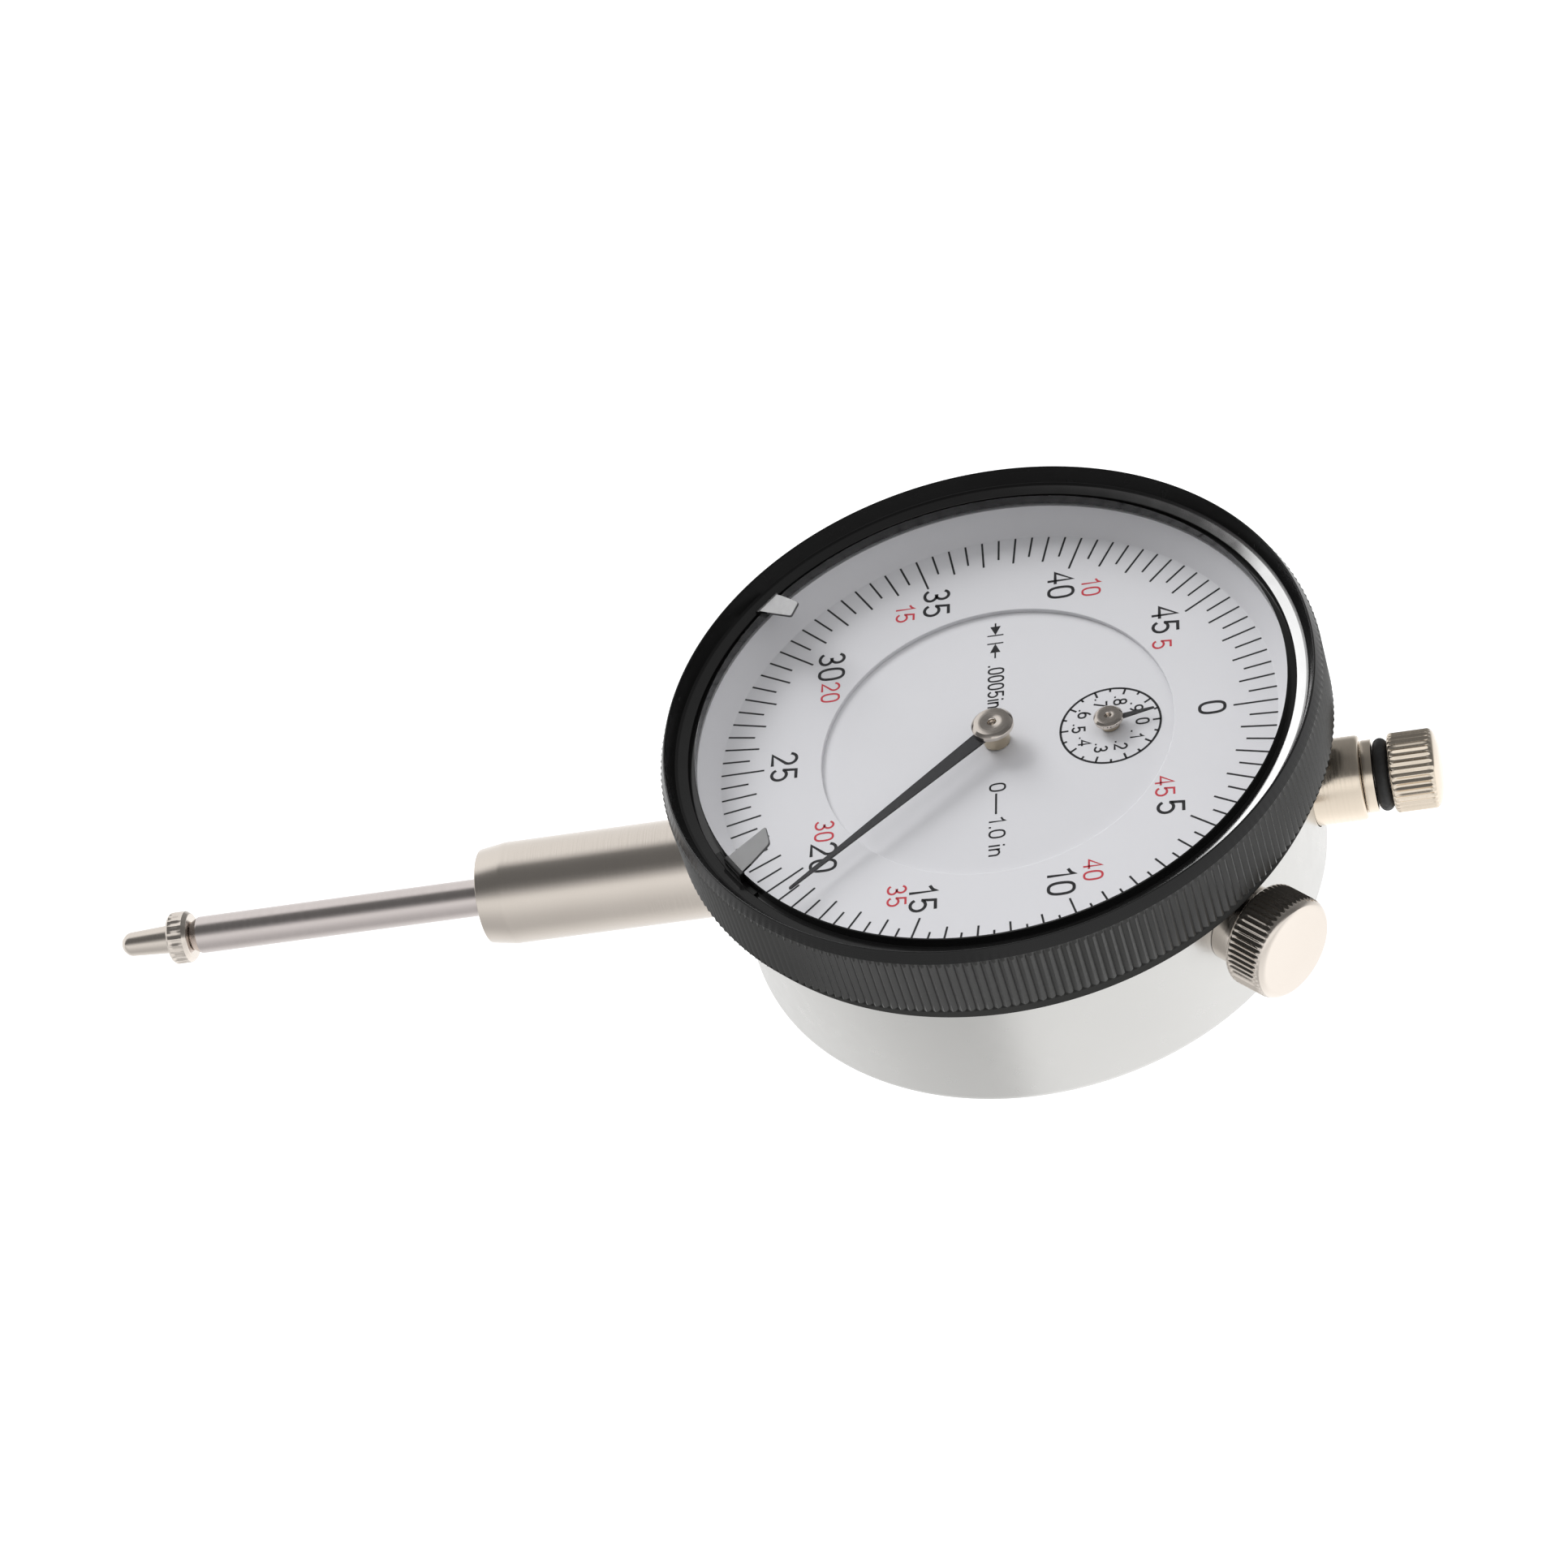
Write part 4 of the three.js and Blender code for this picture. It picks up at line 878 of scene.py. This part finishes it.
def build_plunger():
    profile = [
        (0, -79.85), (1.35, -79.85), (1.75, -79.15, 0.1), (1.75, 36.0, 0.1), (1.45, 36.3),
        (0, 36.3),
    ]
    rod = lathe(profile, 96)
    piece = add_piece("spindle_rod", *rod, SPINDLE, spindle_steel, "plunger", "nickel")
    # the rack's flat and the point's hole stay in the CAD solid, out of sight inside the case
    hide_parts("spindle")
    side = evenly(2.45, -81.7, 1.35, 6)[:-1]
    point = lathe(
        [
            (0, -86.9), (0.6, -86.86, 0.1), (1.12, -86.35, 0.35), (1.36, -81.9), (2.3, -81.9),
            *side, (2.45, -80.35), (2.15, -79.95, 0.08), (0.9, -79.95), (0.9, -76.7), (0, -76.7),
        ],
        POINT_FLUTES * 8,
        ripple=flutes(POINT_FLUTES, 0.09, -81.75, -80.3, 2.4, 0.3),
    )
    piece = add_piece("point", *point, SPINDLE, stem_nickel, "plunger", "nickel")
    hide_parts("contact_point")
    profile = [(1.85, 31.4), (3.3, 31.4, 0.1), (3.3, 32.35, 0.1), (1.85, 32.35)]
    washer = lathe(profile, 96, closed=True)
    piece = add_piece("washer", *washer, SPINDLE, sleeve_nickel, "plunger", "nickel")
    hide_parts("stop_washer")
    ring = lathe(arc(2.66, 33.07, 0.64, 0.64, 0, 360, 24)[:-1], 96, closed=True)
    piece = add_piece("rubber_ring", *ring, SPINDLE, rubber, "plunger", "rubber")
    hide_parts("o_ring")
    side = evenly(3.6, 34.05, 3.35, 10)
    cap = lathe(
        [
            (0, 36.6), (1.85, 36.6), (1.85, 33.8), (3.35, 33.8), (3.5, 33.9), *side,
            (3.56, 37.55), (3.3, 37.9, 0.2), (2.2, 38.25, 0.7), (0, 38.4),
        ],
        CAP_FLUTES * 10,
        ripple=flutes(CAP_FLUTES, 0.2, 33.85, 37.75, 3.48, 0.35),
    )
    piece = add_piece("cap", *cap, SPINDLE, sleeve_nickel, "plunger", "nickel", crease=50)
    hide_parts("crown_cap")


# ---- limit clips ----
CLIP_AZIMUTHS = [math.radians(140.3), math.radians(-146.0)]
CLIP_SLOPE = math.radians(14.6)
CLIP_TOP = (27.0, 0, 4.02)  # where the sloping tab begins
CLIP_SKEW = 0.38
CLIP_SHADE_R = 25.9  # outside it the clip is painted dark, as painted shade under the bezel's lip
CLIP_BEVEL = 0.06


def build_clip(index, lean):
    """A bent steel strip: hooked under the bezel's lip, up beside the crystal, then sloping in."""
    skew = CLIP_SKEW * lean
    corners = [
        (0.1, -1.25), (0.1, 1.25), (-1.1, 1.2), (-3.95 - skew, 0.92, 0.3),
        (-3.95 + skew, -0.92, 0.3), (-1.1, -1.2),
    ]
    tab = prism([tuple(p) for p in softened(corners, True)], 0, 0.25)
    tilt = Matrix.Translation(CLIP_TOP) @ Matrix.Rotation(CLIP_SLOPE, 4, "Y")
    side = [
        (27.05, 2.98), (27.4, 2.98), (27.4, 4.2, 0.2), (26.9, 4.32), (26.8, 4.07),
        (27.05, 3.98, 0.05),
    ]
    neck = prism([tuple(p) for p in softened(side, True)], -1.4, 1.4)
    foot = prism(
        arc(0, 0, 27.98, 27.98, -7, 7, 12) + arc(0, 0, 27.05, 27.05, 7, -7, 12), 2.98, 3.24
    )
    parts = gathered([moved(tab, tilt), moved(neck, Matrix.Rotation(QUARTER, 4, "X")), foot])
    place = DIAL @ Matrix.Rotation(CLIP_AZIMUTHS[index - 1], 4, "Z")
    node = f"limit_clip_{index}"
    piece = add_piece(f"clip_{index}", *parts, place, clip_steel, node, "steel")
    # painted shade: the clip's outer part, under the bezel's lip, takes the bezel's black
    paint_faces(piece, [bezel_black], lambda radius, height: radius > CLIP_SHADE_R)
    add_bevel(piece, CLIP_BEVEL)
    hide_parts(node)


# ---- bezel clamp ----
def build_knob():
    side = evenly(4.75, 29.65, 2.75, 10)
    knob = lathe(
        [
            (0, 23.9), (1.25, 23.9), (1.25, 29.15), (4.3, 29.15), (4.6, 29.3), (4.72, 29.5), *side,
            (4.72, 32.6), (4.6, 32.95, 0.2), (4.25, 33.25, 0.15), (4.0, 33.3, 0.1), (0, 33.3),
        ],
        KNOB_FLUTES * 8,
        ripple=flutes(KNOB_FLUTES, 0.17, 29.4, 32.9, 4.55, 0.5),
    )
    piece = add_piece(
        "clamp_screw_knob", *knob, CLAMP, knob_nickel, "clamp_knob", "nickel", crease=60
    )
    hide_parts("clamp_knob")


build_case()
build_back()
build_stem()
build_bezel()
build_crystal()
build_dial()
build_scale()
build_middle_print()
build_hands()
build_plunger()
build_clip(1, 1)
build_clip(2, -1)
build_knob()

# ---- the CAD pieces that stay as they are ----
CAD_FINISH = {"brass": brass, "steel": steel, "nickel": stem_nickel}
for row in frame["record"]["subparts"]:
    node = frame["nodes"][row["node"]]
    if node.hide_render:
        continue
    node.data.materials.clear()
    node.data.materials.append(CAD_FINISH[row["material_slot"]])


# ---- floor, light and camera ----
# How bright the studio looks in reflections, by the angle from the back horizon over the top
# to the front horizon at 180 degrees, and below the horizons with the angle's sign changed.
LEFT_BANDS = [
    (-180, 0.8), (-166, 0.68), (-150, 0.62), (-137, 0.62), (-120, 0.78), (-98, 0.98),
    (-60, 1.1), (-20, 1.1), (0, 1.0), (54, 1.06), (62, 0.85), (74, 0.2), (88, 0.16),
    (111, 0.15), (123, 0.23), (134, 0.5), (146, 0.94), (157, 0.98), (169, 0.9), (180, 0.8),
]
RIGHT_BANDS = [
    (-180, 1.0), (-150, 1.12), (-137, 1.15), (-98, 1.4), (-46, 1.3), (0, 0.3), (45, 0.22),
    (60, 0.2), (74, 0.16), (111, 0.16), (125, 0.2), (131, 0.9), (146, 1.2), (157, 1.1),
    (169, 0.95), (180, 1.0),
]
BRIGHTEST = 1.4
LEFT_END, RIGHT_START = -0.185, -0.16  # the left bands give way to the right ones between them
STRONG_WAY = (0.5, 0.87, 0)  # the soft light is strongest from here
WEAKEST, STRONGEST = 0.23, 1.18

# metres and watts
SOFTBOX_PLACE, SOFTBOX_ALONG = Vector((-0.49, 0.69, 0.53)), (0.05, 0.6, -0.6)
SOFTBOX_SIZE, SOFTBOX_POWER = (0.40, 0.6), 8.2
TWIN_SIZE, TWIN_POWER = (0.39, 0.585), 7.8
TWIN_NEARNESS = 0.97  # two lights in exactly the same place would disturb each other
SEEN_IN = ("bezel_knurled_ring", "clip_1", "clip_2")
FLOOR_HALF, FLOOR_HEIGHT = 3.0, -0.05
FLOOR_COLOUR, FLOOR_GLOW = (0.3, 0.3, 0.3, 1), 0.98

SENSOR, LENS = 36, 108.279  # millimetres
NEAREST, FURTHEST = 0.01, 50
CAMERA_PLACE = (0.065104, -0.292118, 0.325679)
CAMERA_RIGHT = (0.97060503, 0.03904547, -0.23748964)
CAMERA_UP = (0.13488246, 0.72898613, 0.671108)
CAMERA_BACK = (0.19933039, -0.68341398, 0.70229106)


class World:
    """The world's node tree, with a short way to add nodes."""

    def __init__(self):
        world = bpy.data.worlds.new("studio")
        world.use_nodes = True
        bpy.context.scene.world = world
        self.nodes, self.links = world.node_tree.nodes, world.node_tree.links

    def add(self, kind, inputs=(), **settings):
        """A node with its sockets, by name or number, joined to an output or set to a value."""
        node = self.nodes.new(kind)
        for key, value in settings.items():
            setattr(node, key, value)
        for key, value in dict(inputs).items():
            if isinstance(value, bpy.types.NodeSocket):
                self.links.new(value, node.inputs[key])
            else:
                node.inputs[key].default_value = value
        return node

    def ramp(self, share, bands):
        node = self.add("ShaderNodeValToRGB", {0: share})
        elements = node.color_ramp.elements
        while len(elements) < len(bands):
            elements.new(0.5)
        for element, (angle, brightness) in zip(elements, bands):
            element.position = (angle + 180) / 360
            element.color = (*[brightness / BRIGHTEST] * 3, 1)
        return node.outputs["Color"]


def build_world():
    """Soft white light, weaker from the front, and for reflections a studio of bands."""
    w = World()
    place = w.add("ShaderNodeTexCoord").outputs["Generated"]
    split = w.add("ShaderNodeSeparateXYZ", {0: place})
    turn = w.add(
        "ShaderNodeMath", {0: split.outputs["Z"], 1: split.outputs["Y"]}, operation="ARCTAN2"
    )
    share = w.add(
        "ShaderNodeMapRange",
        {"Value": turn.outputs[0], "From Min": -math.pi, "From Max": math.pi},
    )
    side = w.add(
        "ShaderNodeMapRange",
        {"Value": split.outputs["X"], "From Min": LEFT_END, "From Max": RIGHT_START},
        interpolation_type="SMOOTHSTEP",
    )
    left = w.ramp(share.outputs["Result"], LEFT_BANDS)
    right = w.ramp(share.outputs["Result"], RIGHT_BANDS)
    both = w.add(
        "ShaderNodeMix", {"Factor": side.outputs["Result"], "A": left, "B": right}, data_type="RGBA"
    )
    banded = w.add(
        "ShaderNodeBackground", {"Color": both.outputs["Result"], "Strength": BRIGHTEST}
    )
    back = w.add("ShaderNodeVectorMath", {0: place, 1: STRONG_WAY}, operation="DOT_PRODUCT")
    level = w.add(
        "ShaderNodeMapRange",
        {"Value": back.outputs["Value"], "From Min": -1, "To Min": WEAKEST, "To Max": STRONGEST},
    )
    soft = w.add(
        "ShaderNodeBackground", {"Color": (1, 1, 1, 1), "Strength": level.outputs["Result"]}
    )
    ray = w.add("ShaderNodeLightPath").outputs["Is Glossy Ray"]
    mix = w.add("ShaderNodeMixShader", {0: ray, 1: soft.outputs[0], 2: banded.outputs[0]})
    w.links.new(mix.outputs[0], w.nodes["World Output"].inputs["Surface"])


def add_to_scene(name, data):
    added = bpy.data.objects.new(name, data)
    bpy.context.scene.collection.objects.link(added)
    return added


def facing(place, right, up, back):
    """The matrix of an object at place with its X, Y and Z axes in the three directions."""
    return Matrix.Translation(place) @ Matrix((right, up, back)).transposed().to_4x4()


def add_softbox(name, size, power, place):
    """A rectangular light that faces the origin, with its longer side along SOFTBOX_ALONG."""
    data = bpy.data.lights.new(name, "AREA")
    data.shape = "RECTANGLE"
    data.size, data.size_y = size
    data.energy = power
    light = add_to_scene(name, data)
    back = place.normalized()
    side = Vector(SOFTBOX_ALONG).cross(back).normalized()
    light.matrix_world = facing(place, side, back.cross(side), back)
    return light


def build_softboxes():
    """One softbox lights everything and is seen in nothing. Its twin is seen in SEEN_IN only."""
    softbox = add_softbox("back_softbox", SOFTBOX_SIZE, SOFTBOX_POWER, SOFTBOX_PLACE)
    softbox.visible_glossy = False
    twin = add_softbox("lip_softbox", TWIN_SIZE, TWIN_POWER, TWIN_NEARNESS * SOFTBOX_PLACE)
    twin.visible_diffuse = False
    glossy = bpy.data.collections.new("seen_in_gloss")
    for name in SEEN_IN:
        glossy.objects.link(bpy.data.objects[name])
    twin.light_linking.receiver_collection = glossy


def build_floor():
    data = bpy.data.meshes.new("floor")
    signs = [(-1, -1), (1, -1), (1, 1), (-1, 1)]
    corners = [(x * FLOOR_HALF, y * FLOOR_HALF, FLOOR_HEIGHT) for x, y in signs]
    data.from_pydata(corners, [], [(0, 1, 2, 3)])
    floor = add_to_scene("floor", data)
    n = Nodes("floor_pale")
    sockets = {
        "Base Color": FLOOR_COLOUR,
        "Roughness": 1.0,
        "Specular IOR Level": 0.0,
        "Emission Color": (1, 1, 1, 1),
        "Emission Strength": FLOOR_GLOW,
    }
    n.set_shader(sockets)
    data.materials.append(n.material)
    floor.visible_glossy = False


def build_camera():
    data = bpy.data.cameras.new("camera")
    data.sensor_width = SENSOR
    data.lens = LENS
    data.clip_start = NEAREST
    data.clip_end = FURTHEST
    camera = add_to_scene("camera", data)
    camera.matrix_world = facing(CAMERA_PLACE, CAMERA_RIGHT, CAMERA_UP, CAMERA_BACK)
    bpy.context.scene.camera = camera


build_world()
build_floor()
build_softboxes()
bpy.context.scene.view_settings.view_transform = "Standard"
build_camera()
